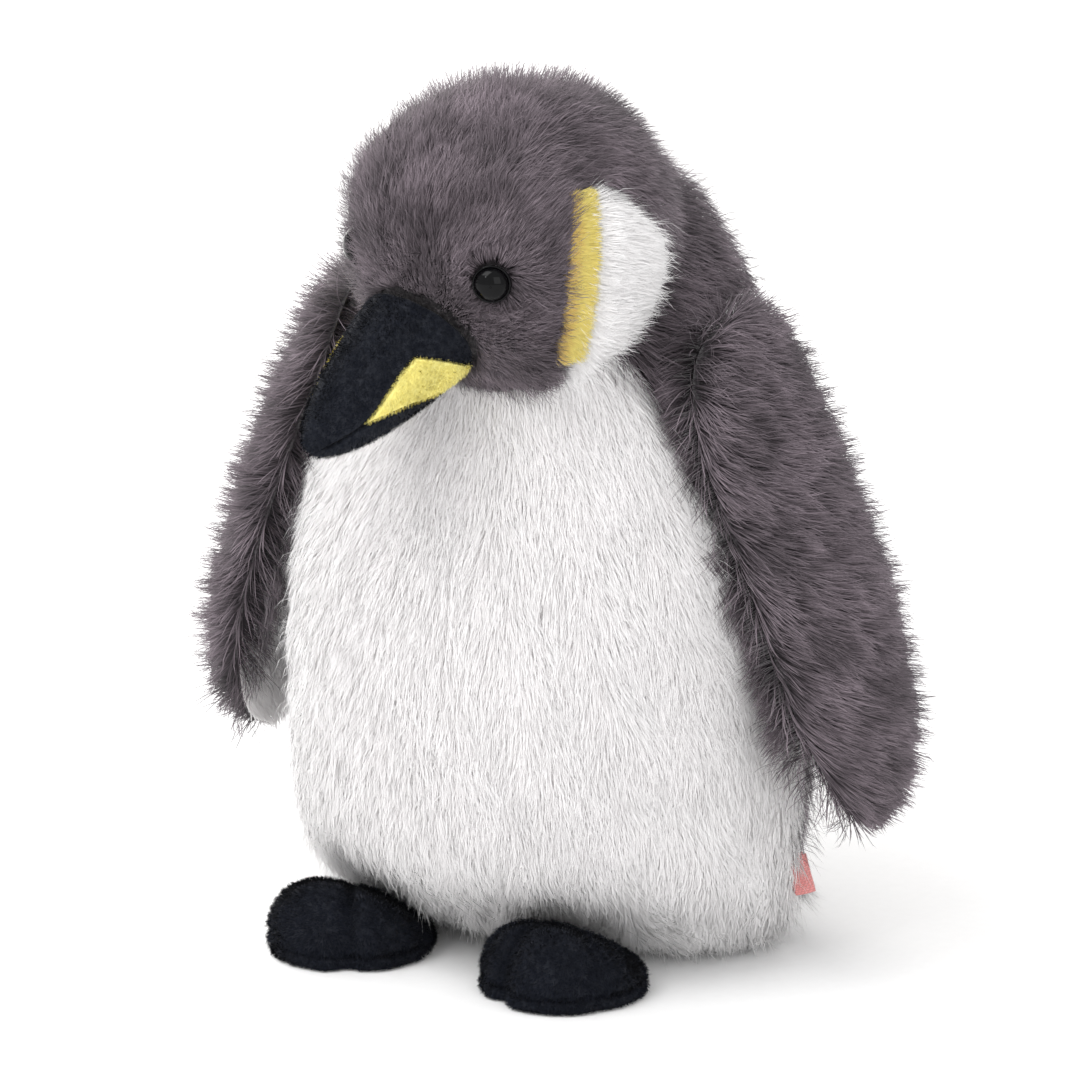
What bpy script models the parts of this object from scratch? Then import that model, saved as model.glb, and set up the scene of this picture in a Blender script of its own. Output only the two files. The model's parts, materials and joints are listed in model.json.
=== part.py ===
"""A seated plush penguin: stuffed fur-fabric panels, minky beak and feet, safety eyes.

The penguin faces -Y, its left side is +X and +Z is up. The sizes below are measured from a
point on the floor under the neck; the finished model is then moved so that its origin is
the middle of the flat base panel. Every outline is the tip of the pile; the fabric's solid
panel lies PILE inside it.
"""
from math import cos, degrees, exp, pi, radians, sin, sqrt

import bmesh
import bpy
from mathutils import Matrix, Vector

MM = 0.001
BASE_MIDDLE = Vector((-6.0, 21.0, 0.0))     # becomes the model's origin

# fabric
PILE = 4.0              # how far the brushed pile stands proud of the solid panel
FUR_PANEL = 8.0         # long-pile panel: backing, seam and packed pile
WING_PANEL = 3.0
MINKY_PANEL = 2.5       # short-pile panel of the beak and feet
SEAM = 0.25             # half the gap left along a seam
REST_GAP = 0.4          # clearance between pieces that lie against each other
STUFFING_GAP = 2.0      # further clearance round the body's stuffing, whose sections curve most

# body: front point (y, z), rear point (y, z), half width and sideways lean of each section
BODY_SECTIONS = (
    (-5.0, 0.0, 47.0, 0.0, 50.0, -6.0),
    (-22.0, 11.0, 58.0, 8.0, 69.0, -6.0),
    (-50.0, 25.0, 64.0, 18.0, 80.0, -6.0),
    (-71.0, 43.0, 69.0, 40.0, 85.0, -4.0),
    (-81.0, 78.0, 72.0, 82.0, 87.0, -1.0),
    (-82.0, 114.0, 70.0, 124.0, 86.5, 0.0),
    (-77.0, 148.0, 66.0, 168.0, 80.0, 0.0),
    (-71.0, 174.0, 61.0, 208.0, 67.0, 0.0),
    (-67.0, 188.0, 48.0, 240.0, 54.0, 0.0),
    (-65.5, 193.3, 20.0, 258.4, 47.5, 0.0),
)
BELLY_EDGE_BASE = 112.0     # angle from the front where belly and back panels are sewn
BELLY_EDGE_NECK = 78.0
BELLY_EDGE_TUCK = 24.0      # how far that seam runs forward under the wings
BASE_THICK = 3.0

# head
HEAD_CENTRE = Vector((0.0, -39.0, 237.0))
HEAD_RADIUS = 51.0
HEAD_YAW = 16.0             # turned to the penguin's right
NAPE_REACH = 13.0           # how far the head runs back into the nape
NAPE_DIRECTION = Vector((0.0, 0.97, 0.243))
NECK_POINT = Vector((0.0, -65.5, 193.3))
NECK_NORMAL = Vector((0.0, -0.606, 0.795)).normalized()
NECK_GAP = 0.8
FACE_EDGE = 67.0            # longitudes of the head's seams, from the front
STRIPE_EDGE = 76.0
CHEEK_EDGE = 126.0
CROWN_EDGE = 34.0           # latitude of the crown's seam, at the front and at the rear
CROWN_EDGE_REAR = 46.0
CROWN_DIP = 20.0            # how far that seam comes down behind the cheek patch
CROWN_DIP_START = 84.0

# beak
BEAK_YAW = 17.0             # a little further round than the head
BEAK_PITCH = 30.5
BEAK_BLUNT = 2.8            # how squarely the tip closes; 2 would be an oval
BEAK_TAPER = (0.28, 0.34)   # how much its width and height lose from the face to the tip
BEAK_LENGTH = 49.0
BEAK_HALF_WIDTH = 21.0
BEAK_HALF_HEIGHT = 17.0
BEAK_DROOP = 5.0
BEAK_SWEEP = 6.0              # how far its tip bends to the penguin's right
BEAK_ROOT = 0.09            # where its stuffing begins, clear of the face behind it
PATCH_END = 0.70
BEAK_END = 0.98
BEAK_STEP = 0.07            # spacing of the panels' rows along the beak
# yellow patch: share of the beak's length, upper and lower edge as angles round it from its top
PATCH_EDGES = (
    (0.0, 120.0, 150.0),
    (0.07, 107.0, 147.0),
    (0.14, 90.0, 141.0),
    (0.28, 56.0, 124.0),
    (0.42, 58.0, 107.0),
    (0.56, 66.0, 95.5),
    (0.70, 76.0, 84.5),
    (0.77, 80.0, 80.0),
    (1.0, 80.0, 80.0),
)

# safety eyes
EYE_LONGITUDE = 39.0
EYE_LATITUDE = 0.5
EYE_RADIUS = 6.0
EYE_HEIGHT = 3.8
STEM_RADIUS = 1.6
STEM_LENGTH = 12.0
WASHER_RADIUS = 6.0
WASHER_THICK = 1.0

# wings: centre line (x, y, z), half chord and half thickness, shoulder to tip
WING_LINE = (
    (61.5, -10.0, 216.0, 36.0, 9.5),
    (73.0, -9.0, 190.0, 37.0, 10.5),
    (87.0, -7.0, 157.0, 38.0, 11.0),
    (100.0, -5.0, 121.0, 38.0, 11.0),
    (108.0, -3.0, 84.0, 36.0, 10.5),
    (107.0, 1.0, 49.0, 29.0, 10.0),
)
WING_WRAP = 14.0            # how far the wing's edges curl in round the body
WING_ROOT_FULL = 5.0        # how square each end is; 2 would be an oval
WING_TIP_FULL = 3.2
WING_PIVOT = (57.0, 208.0)  # x and z of the shoulder seam

# feet
FOOT_CENTRES = {"left": (27.0, -50.0), "right": (-50.0, -46.0)}
FOOT_SPLAY = 14.0
FOOT_HALF_WIDTH = 26.0
FOOT_HALF_LENGTH = 27.0
FOOT_HEIGHT = 26.0
FOOT_SLOPE = 0.72           # how far the top drops from the toes to the heel under the belly
SOLE_THICK = 4.0
TOE_SWELL = 0.04            # how far the toes swell the outline, as a share of its size
CREASE_TURN = 38.0          # the creases between the toes, from straight ahead
CREASE_INNER = (0.13, 11.0)     # depth as a share, and half width in degrees
CREASE_OUTER = (0.04, 9.0)
FOOT_PIVOT = (25.0, 6.0)    # how far behind its centre and above the floor a foot hinges

# pellet bag
BAG_CENTRE = Vector((-5.0, 18.0, 21.0))
BAG_RADII = (44.0, 29.0, 15.5)
BAG_CLOTH = 1.0
BAG_MOUTH = 168.0

# sewn-in label
LABEL_STATION = 2.62        # section of the body that it is sewn in at
LABEL_SIZE = (8.0, 12.0)
LABEL_PLY = 0.6
LABEL_LEAN = 22.0


def smooth(table, column, station):
    """Catmull-Rom value of one column at a fractional row."""
    last = len(table) - 1
    row = min(int(station), last - 1)
    t = station - row
    p0, p1, p2, p3 = (table[min(max(row + k, 0), last)][column] for k in (-1, 0, 1, 2))
    return 0.5 * (
        2 * p1
        + (p2 - p0) * t
        + (2 * p0 - 5 * p1 + 4 * p2 - p3) * t**2
        + (3 * p1 - p0 - 3 * p2 + p3) * t**3
    )


def ease(low, high, value):
    """0 below low, 1 above high, and a smooth step between them."""
    t = min(max((value - low) / (high - low), 0.0), 1.0)
    return t * t * (3 - 2 * t)


def clear_scene():
    for old in list(bpy.data.objects):
        bpy.data.objects.remove(old, do_unlink=True)


def make_material(name, colour, roughness):
    material = bpy.data.materials.new(name)
    material.use_nodes = True
    shader = material.node_tree.nodes["Principled BSDF"]
    shader.inputs["Base Color"].default_value = (*colour, 1.0)
    shader.inputs["Roughness"].default_value = roughness
    shader.inputs["Metallic"].default_value = 0.0
    return material


def make_hub(name, place):
    """An empty on a joint's axis, which the moving pieces are parented to."""
    hub = bpy.data.objects.new(name, None)
    bpy.context.collection.objects.link(hub)
    hub.location = (Vector(place) - BASE_MIDDLE) * MM
    return hub


def add_part(name, bm, material, hub=None):
    """Turns a millimetre bmesh into a named object that hangs on its hub."""
    bmesh.ops.recalc_face_normals(bm, faces=bm.faces)
    origin = hub.location.copy() if hub else Vector()
    bmesh.ops.translate(bm, vec=-BASE_MIDDLE, verts=bm.verts)
    bmesh.ops.scale(bm, vec=(MM, MM, MM), verts=bm.verts)
    bmesh.ops.translate(bm, vec=-origin, verts=bm.verts)
    mesh = bpy.data.meshes.new(name)
    bm.to_mesh(mesh)
    bm.free()
    mesh.materials.append(material)
    mesh.shade_smooth()
    mesh.set_sharp_from_angle(angle=radians(50))
    part = bpy.data.objects.new(name, mesh)
    bpy.context.collection.objects.link(part)
    part.parent = hub
    return part


def add_rows(bm, place, depth, counts, closed, poles):
    """Rows of vertices over a surface place(u, v, depth); a pole is one shared vertex."""
    u_count, v_count = counts
    across = u_count if closed else u_count + 1
    rows = []
    for j in range(v_count + 1):
        v = j / v_count
        if (j == 0 and poles[0]) or (j == v_count and poles[1]):
            rows.append([bm.verts.new(place(0.0, v, depth))] * across)
        else:
            rows.append([bm.verts.new(place(i / u_count, v, depth)) for i in range(across)])
    return rows


def add_face(bm, corners):
    """A face through the corners, leaving out a vertex that a pole repeats."""
    kept = list(dict.fromkeys(corners))
    if len(kept) > 2:
        bm.faces.new(kept)


def cover(bm, rows, closed):
    across = len(rows[0])
    spans = across if closed else across - 1
    for low, high in zip(rows, rows[1:]):
        for i in range(spans):
            k = (i + 1) % across
            add_face(bm, (low[i], low[k], high[k], high[i]))


def join_edges(bm, first, second, closed=False):
    spans = len(first) if closed else len(first) - 1
    for i in range(spans):
        k = (i + 1) % len(first)
        add_face(bm, (first[i], first[k], second[k], second[i]))


def panel(place, counts, depths, closed=False, poles=(False, False)):
    """A fabric panel: an outer and an inner surface at two depths, joined round their rims."""
    bm = bmesh.new()
    outer, inner = (add_rows(bm, place, depth, counts, closed, poles) for depth in depths)
    cover(bm, outer, closed)
    cover(bm, inner, closed)
    if not poles[0]:
        join_edges(bm, outer[0], inner[0], closed)
    if not poles[1]:
        join_edges(bm, outer[-1], inner[-1], closed)
    if not closed:
        join_edges(bm, [row[0] for row in outer], [row[0] for row in inner])
        join_edges(bm, [row[-1] for row in outer], [row[-1] for row in inner])
    return bm


def lump(place, counts, depth, poles=(False, False)):
    """A closed stuffing shape: one surface at one depth, capped where it has no pole."""
    bm = bmesh.new()
    rows = add_rows(bm, place, depth, counts, True, poles)
    cover(bm, rows, True)
    if not poles[0]:
        bm.faces.new(rows[0])
    if not poles[1]:
        bm.faces.new(rows[-1])
    return bm


def turned(profile, steps):
    """A closed profile of (radius, height) points spun round Z."""
    bm = bmesh.new()
    points = [bm.verts.new((radius, 0.0, height)) for radius, height in profile]
    edges = [bm.edges.new(pair) for pair in zip(points, points[1:])]
    if profile[0][0] > 0:
        edges.append(bm.edges.new((points[-1], points[0])))
    bmesh.ops.spin(bm, geom=edges, cent=(0, 0, 0), axis=(0, 0, 1), angle=2 * pi,
                   steps=steps, use_merge=True, use_duplicate=False)
    bmesh.ops.remove_doubles(bm, verts=bm.verts, dist=0.001)
    return bm


# ---------------------------------------------------------------- body

def body_point(station, angle, depth):
    """A point of the body: an ellipse through the section's front and rear points."""
    front = Vector((0.0, smooth(BODY_SECTIONS, 0, station), smooth(BODY_SECTIONS, 1, station)))
    rear = Vector((0.0, smooth(BODY_SECTIONS, 2, station), smooth(BODY_SECTIONS, 3, station)))
    half_width = smooth(BODY_SECTIONS, 4, station) - depth
    back = rear - front
    half_depth = back.length / 2 - depth
    turn = radians(angle)
    lean = smooth(BODY_SECTIONS, 5, station)
    side = Vector((lean + half_width * sin(turn), 0.0, 0.0))
    return (front + rear) / 2 + side - back.normalized() * half_depth * cos(turn)


def belly_edge(station):
    share = station / (len(BODY_SECTIONS) - 1)
    edge = BELLY_EDGE_BASE + (BELLY_EDGE_NECK - BELLY_EDGE_BASE) * share
    return edge - BELLY_EDGE_TUCK * ease(3.4, 7.0, station)


def seam_angle(depth):
    """Half a seam's gap as an angle, in degrees, on the body's narrowest section."""
    return degrees(SEAM / (BODY_SECTIONS[0][4] - depth))


def make_body(fur_white, fur_grey, cotton, fibre, pellet):
    top = len(BODY_SECTIONS) - 1
    depths = (PILE, PILE + FUR_PANEL)
    gap = seam_angle(PILE + FUR_PANEL)

    def belly(u, v, depth):
        station = v * top
        return body_point(station, (2 * u - 1) * (belly_edge(station) - gap), depth)

    add_part("belly_panel", panel(belly, (20, 16), depths), fur_white)

    for side, name in ((1, "back_panel_left"), (-1, "back_panel_right")):
        def back(u, v, depth, side=side):
            station = v * top
            low = belly_edge(station) + gap
            return body_point(station, side * (low + u * (180 - gap - low)), depth)

        add_part(name, panel(back, (8, 16), depths), fur_grey)

    inside = PILE + FUR_PANEL + REST_GAP

    def base(u, v, depth):
        edge = body_point(0.0, 360 * u, depth)
        return edge + Vector((0.0, 0.0, v * BASE_THICK))

    add_part("base_panel", lump(base, (28, 1), inside), fur_white)

    low_station, high_station = 3.25, top - 0.25

    def filling(u, v, depth):
        station = low_station + v * (high_station - low_station)
        return body_point(station, 360 * u, depth)

    add_part("body_filling", lump(filling, (28, 10), inside + STUFFING_GAP), fibre)

    def bag(u, v, depth):
        lift = radians(v * BAG_MOUTH)
        turn = 2 * pi * u
        flat = [radius - depth for radius in BAG_RADII]
        return BAG_CENTRE + Vector((flat[0] * sin(lift) * cos(turn),
                                    flat[1] * sin(lift) * sin(turn), -flat[2] * cos(lift)))

    add_part("pellet_bag", panel(bag, (20, 7), (0.0, BAG_CLOTH), True, (True, False)), cotton)

    def heap(u, v, depth):
        return bag(u, v * 180 / BAG_MOUTH, depth)

    add_part("pellets", lump(heap, (20, 7), BAG_CLOTH + STUFFING_GAP, (True, True)), pellet)


# ---------------------------------------------------------------- head

def head_direction(longitude, latitude):
    turn, lift = radians(longitude - HEAD_YAW), radians(latitude)
    return Vector((cos(lift) * sin(turn), -cos(lift) * cos(turn), sin(lift)))


def head_point(longitude, latitude, depth):
    """A point of the head: a ball drawn out towards the nape."""
    direction = head_direction(longitude, latitude)
    reach = NAPE_REACH * max(0.0, direction.dot(NAPE_DIRECTION)) ** 5
    return HEAD_CENTRE + direction * (HEAD_RADIUS + reach - depth)


def neck_latitude(longitude, depth):
    """The latitude where a meridian of the head comes down to the neck seam."""
    low, high = -85.0, 60.0
    for _ in range(30):
        middle = (low + high) / 2
        height = (head_point(longitude, middle, depth) - NECK_POINT).dot(NECK_NORMAL)
        low, high = (middle, high) if height < NECK_GAP else (low, middle)
    return high


def crown_latitude(longitude):
    turn = abs(longitude)
    dip = CROWN_DIP * ease(CROWN_DIP_START, CHEEK_EDGE, turn)
    rise = (CROWN_EDGE_REAR - CROWN_EDGE + CROWN_DIP) * ease(CHEEK_EDGE, 175.0, turn)
    return CROWN_EDGE - dip + rise


def head_strip(start, end, columns, rows):
    """A head panel between two longitudes, from the neck seam up to the crown's seam."""
    gap = degrees(SEAM / (HEAD_RADIUS - PILE - FUR_PANEL))
    low, high = min(start, end) + gap, max(start, end) - gap

    def place(u, v, depth):
        longitude = low + u * (high - low)
        bottom = neck_latitude(longitude, PILE)
        top = crown_latitude(longitude) - gap
        return head_point(longitude, bottom + v * (top - bottom), depth)

    return panel(place, (columns, rows), (PILE, PILE + FUR_PANEL))


def along(direction, base):
    """The matrix that stands a turned piece on a point with its axis along a direction."""
    return Matrix.Translation(base) @ direction.to_track_quat("Z", "X").to_matrix().to_4x4()


def bore_eye_hole(face, direction, hub):
    """A round hole through the face panel for the eye's stem."""
    bm = bmesh.new()
    bmesh.ops.create_cone(bm, cap_ends=True, segments=16, radius1=STEM_RADIUS + 0.4,
                          radius2=STEM_RADIUS + 0.4, depth=3 * FUR_PANEL)
    middle = HEAD_CENTRE + direction * (HEAD_RADIUS - PILE - FUR_PANEL / 2)
    bmesh.ops.transform(bm, matrix=along(direction, middle), verts=bm.verts)
    cutter = add_part(face.name + "_hole", bm, face.data.materials[0], hub)
    cutter.hide_render = True
    cutter.display_type = "WIRE"
    hole = face.modifiers.new("stem_hole", "BOOLEAN")
    hole.operation = "DIFFERENCE"
    hole.solver = "EXACT"
    hole.object = cutter


def eye_profile():
    """A domed button with a stem behind it, from its front down to the stem's end."""
    dome = [(EYE_RADIUS * sin(radians(a)), EYE_HEIGHT * cos(radians(a))) for a in range(0, 91, 15)]
    rim = [(EYE_RADIUS * 0.96, -0.4)]
    stem = [(STEM_RADIUS, -0.4), (STEM_RADIUS, -STEM_LENGTH + 0.8)]
    tip = [(STEM_RADIUS * 0.55, -STEM_LENGTH), (0.0, -STEM_LENGTH)]
    return dome + rim + stem + tip


def make_eye(side, word, face, hub, glass, plastic):
    direction = head_direction(side * EYE_LONGITUDE, EYE_LATITUDE)
    bore_eye_hole(face, direction, hub)
    eye = turned(eye_profile(), 16)
    seat = HEAD_CENTRE + direction * (HEAD_RADIUS - PILE + 0.4 + REST_GAP)
    bmesh.ops.transform(eye, matrix=along(direction, seat), verts=eye.verts)
    add_part("eye_" + word, eye, glass, hub)

    bore = STEM_RADIUS + 0.15
    ring = turned([(bore, WASHER_THICK), (WASHER_RADIUS, WASHER_THICK * 0.6),
                   (WASHER_RADIUS, 0.0), (bore, 0.0)], 16)
    behind = HEAD_RADIUS - PILE - FUR_PANEL - REST_GAP - WASHER_THICK - 0.6
    bmesh.ops.transform(ring, matrix=along(direction, HEAD_CENTRE + direction * behind),
                        verts=ring.verts)
    add_part("eye_washer_" + word, ring, plastic, hub)


def make_head(hub, fur_grey, fur_white, fur_yellow, glass, plastic, fibre):
    for side, word in ((1, "left"), (-1, "right")):
        face = add_part("face_panel_" + word, head_strip(0, side * FACE_EDGE, 8, 10),
                        fur_grey, hub)
        add_part("cheek_stripe_" + word, head_strip(side * FACE_EDGE, side * STRIPE_EDGE, 2, 8),
                 fur_yellow, hub)
        add_part("cheek_patch_" + word, head_strip(side * STRIPE_EDGE, side * CHEEK_EDGE, 6, 8),
                 fur_white, hub)
        add_part("nape_panel_" + word, head_strip(side * CHEEK_EDGE, side * 180, 8, 6),
                 fur_grey, hub)
        make_eye(side, word, face, hub, glass, plastic)

    gap = degrees(SEAM / (HEAD_RADIUS - PILE - FUR_PANEL))

    def crown(u, v, depth):
        longitude = 360 * u - 180
        bottom = crown_latitude(longitude) + gap
        return head_point(longitude, bottom + v * (90 - bottom), depth)

    add_part("crown_panel", panel(crown, (30, 5), (PILE, PILE + FUR_PANEL), True, (False, True)),
             fur_grey, hub)

    inside = PILE + FUR_PANEL + 5.0     # leaves room for the washers and the stems' ends

    def filling(u, v, depth):
        longitude = 360 * u - 180
        bottom = neck_latitude(longitude, PILE) + 6.0
        return head_point(longitude, bottom + v * (90 - bottom), depth)

    add_part("head_filling", lump(filling, (24, 8), inside, (False, True)), fibre, hub)


# ---------------------------------------------------------------- beak

def beak_frame():
    """Unit vectors along the beak, up from it and to the penguin's left."""
    turn = Matrix.Rotation(radians(-BEAK_YAW), 3, "Z")
    pitch = radians(BEAK_PITCH)
    ahead = turn @ Vector((0.0, -cos(pitch), -sin(pitch)))
    up = turn @ Vector((0.0, -sin(pitch), cos(pitch)))
    left = turn @ Vector((1.0, 0.0, 0.0))
    return ahead, up, left


def beak_point(share, angle, depth):
    """A point of the beak: ovals that narrow and droop from the face to a blunt tip."""
    ahead, up, left = beak_frame()
    blunt = sqrt(max(0.0, 1 - share**BEAK_BLUNT))
    half_width = (BEAK_HALF_WIDTH * (1 - BEAK_TAPER[0] * share) - depth) * blunt
    half_height = (BEAK_HALF_HEIGHT * (1 - BEAK_TAPER[1] * share) - depth) * blunt
    turn = radians(angle)
    across, lift = half_width * sin(turn), half_height * cos(turn)
    seat = HEAD_RADIUS - PILE + REST_GAP
    on_face = sqrt(seat**2 - across**2 - lift**2)
    end = seat + BEAK_LENGTH - depth
    advance = on_face * (1 - share) + end * share
    return (HEAD_CENTRE + ahead * advance + left * (across - BEAK_SWEEP * share**2)
            + up * (lift - BEAK_DROOP * share**2))


def patch_edges(share):
    """The patch's upper and lower edge at a share of the beak's length, straight between rows."""
    for before, after in zip(PATCH_EDGES, PATCH_EDGES[1:]):
        if share <= after[0]:
            break
    part = (share - before[0]) / (after[0] - before[0])
    return tuple(low + (high - low) * part for low, high in zip(before[1:], after[1:]))


def make_beak(hub, minky_black, minky_yellow, fibre):
    gap = 1.6       # degrees, half a seam's gap round the beak
    depths = (0.5, 0.5 + MINKY_PANEL)

    rows = round(BEAK_END / BEAK_STEP)
    patch_rows = round(PATCH_END / BEAK_STEP)

    def upper(u, v, depth):
        share = v * BEAK_END
        return beak_point(share, (2 * u - 1) * (patch_edges(share)[0] - gap), depth)

    def lower(u, v, depth):
        share = v * BEAK_END
        return beak_point(share, 180 + (2 * u - 1) * (180 - patch_edges(share)[1] - gap), depth)

    add_part("beak_top", panel(upper, (14, rows), depths), minky_black, hub)
    add_part("beak_underside", panel(lower, (12, rows), depths), minky_black, hub)

    for side, word in ((1, "left"), (-1, "right")):
        def patch(u, v, depth, side=side):
            share = v * PATCH_END
            low, high = patch_edges(share)
            low, high = low + gap, high - gap
            return beak_point(share, side * (low + u * (high - low)), depth)

        add_part("beak_patch_" + word, panel(patch, (6, patch_rows), depths), minky_yellow, hub)

    def filling(u, v, depth):
        return beak_point(BEAK_ROOT + v * (1 - BEAK_ROOT), 360 * u, depth)

    add_part("beak_filling", lump(filling, (20, 9), 0.5 + MINKY_PANEL + 2 * REST_GAP, (False, True)),
             fibre, hub)


# ---------------------------------------------------------------- wings

def wing_point(side, along_wing, angle, depth, shift=0.0):
    """A point of a wing: flat ovals carried down a curved line and closed at both ends."""
    last = len(WING_LINE) - 1
    length = sum((Vector(b[:3]) - Vector(a[:3])).length for a, b in zip(WING_LINE, WING_LINE[1:]))
    swing = -cos(pi * along_wing)
    station = last * (0.5 + swing * (0.5 - depth / length))
    step = 0.01
    low, high = max(station - step, 0.0), min(station + step, last)
    run = Vector((smooth(WING_LINE, 0, high) - smooth(WING_LINE, 0, low), 0.0,
                  smooth(WING_LINE, 2, high) - smooth(WING_LINE, 2, low))).normalized()
    outward = Vector((-run.z, 0.0, run.x))
    fullness = WING_ROOT_FULL if swing < 0 else WING_TIP_FULL
    round_end = (1 - abs(swing) ** fullness) ** 0.45 if abs(swing) < 1 else 0.0
    turn = radians(angle)
    chord = (smooth(WING_LINE, 3, station) - depth) * round_end * cos(turn)
    thick = (smooth(WING_LINE, 4, station) - depth) * round_end * sin(turn)
    curl = WING_WRAP * (chord / WING_LINE[2][3]) ** 2
    centre = Vector([smooth(WING_LINE, column, station) for column in (0, 1, 2)])
    point = centre + outward * (thick - curl + shift) + Vector((0.0, -chord, 0.0))
    return Vector((side * point.x, point.y, point.z))


def make_wing(side, word, hub, fur_grey, fur_white, fibre):
    depths = (PILE, PILE + WING_PANEL)

    def outer(u, v, depth):
        return wing_point(side, v, 180 * u, depth, SEAM)

    def lining(u, v, depth):
        return wing_point(side, v, 180 + 180 * u, depth, -SEAM)

    def filling(u, v, depth):
        return wing_point(side, v, 360 * u, depth)

    ends = (True, True)
    add_part("wing_outer_" + word, panel(outer, (10, 14), depths, False, ends), fur_grey, hub)
    add_part("wing_lining_" + word, panel(lining, (10, 14), depths, False, ends), fur_white, hub)
    add_part("wing_filling_" + word, lump(filling, (14, 10), PILE + WING_PANEL + REST_GAP, ends),
             fibre, hub)


# ---------------------------------------------------------------- feet

def toe_lobe(side, turn):
    """How far the outline swells or dips: three toes, with the deeper crease on the inner side."""
    inner = CREASE_INNER[0] * exp(-((degrees(turn) + side * CREASE_TURN) / CREASE_INNER[1]) ** 2)
    outer = CREASE_OUTER[0] * exp(-((degrees(turn) - side * CREASE_TURN) / CREASE_OUTER[1]) ** 2)
    return TOE_SWELL * max(0.0, cos(turn)) - inner - outer


def foot_outline(side, turn, depth):
    """The foot's outline from above: an oval with three toes across its front."""
    lobe = toe_lobe(side, turn)
    heel = 1 - 0.16 * max(0.0, -cos(turn))
    x = (FOOT_HALF_WIDTH * heel * (1 + lobe) - depth) * sin(turn)
    y = -(FOOT_HALF_LENGTH * (1 + lobe) - depth) * cos(turn)
    return Matrix.Rotation(radians(side * FOOT_SPLAY), 3, "Z") @ Vector((x, y, 0.0))


def foot_point(side, middle, u, v, depth):
    """A point of the foot's upper: the outline drawn in to a top that slopes to the heel."""
    turn = 2 * pi * u - pi
    lift = v * pi / 2
    flat = foot_outline(side, turn, depth) * cos(lift) ** 0.7
    centre = Vector((*middle, SOLE_THICK + REST_GAP))
    slope = 1 - FOOT_SLOPE * ease(-18.0, 18.0, flat.y)
    toe = 1 + toe_lobe(side, turn)
    height = (FOOT_HEIGHT - SOLE_THICK - depth) * sin(lift) * slope * toe
    return centre + flat + Vector((0.0, 0.0, max(height, 0.0)))


def make_foot(side, word, hub, minky_black, fibre):
    depths = (0.5, 0.5 + MINKY_PANEL)
    middle = FOOT_CENTRES[word]

    def upper(u, v, depth):
        return foot_point(side, middle, u, v, depth)

    def sole(u, v, depth):
        return Vector((*middle, v * SOLE_THICK)) + foot_outline(side, 2 * pi * u - pi, depth)

    ends = (False, True)
    add_part("foot_top_" + word, panel(upper, (36, 6), depths, True, ends), minky_black, hub)
    add_part("foot_sole_" + word, lump(sole, (36, 1), 0.5), minky_black, hub)
    add_part("foot_filling_" + word,
             lump(upper, (36, 5), 0.5 + MINKY_PANEL + 3 * REST_GAP, ends), fibre, hub)


# ---------------------------------------------------------------- label

def label_seat():
    """Where the label is sewn in, and its directions: outward and along the seam's side."""
    angle = belly_edge(LABEL_STATION)
    seat = body_point(LABEL_STATION, angle, PILE)
    near = body_point(LABEL_STATION, angle + 1, PILE)
    sideways = (near - seat).normalized()
    outward = sideways.cross(Vector((0.0, 0.0, 1.0))).normalized()
    if outward.x < 0:
        outward = -outward
    return seat + outward * 0.8, outward, sideways


def make_label(hub, ribbon):
    """A ribbon folded in two: a hairpin profile across the label's width."""
    seat, outward, sideways = label_seat()
    lean = radians(LABEL_LEAN)
    down = outward * sin(lean) - Vector((0.0, 0.0, cos(lean)))
    across = down.cross(sideways).normalized()
    width, length = LABEL_SIZE
    gap = LABEL_PLY / 2
    bend = [(length + LABEL_PLY * cos(radians(a)) * 1.5, LABEL_PLY * 1.5 * sin(radians(a)))
            for a in range(60, -61, -30)]
    outer = [(0.0, LABEL_PLY * 1.5)] + bend + [(0.0, -LABEL_PLY * 1.5)]
    inner = [(0.0, -gap), (length - gap, -gap), (length, 0.0), (length - gap, gap), (0.0, gap)]
    bm = bmesh.new()
    rims = []
    for edge in (-width / 2, width / 2):
        rims.append([bm.verts.new(seat + down * x + across * y + sideways * edge)
                     for x, y in outer + inner])
    for rim in rims:
        bm.faces.new(rim)
    join_edges(bm, rims[0], rims[1], True)
    add_part("sewn_label", bm, ribbon, hub)


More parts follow.
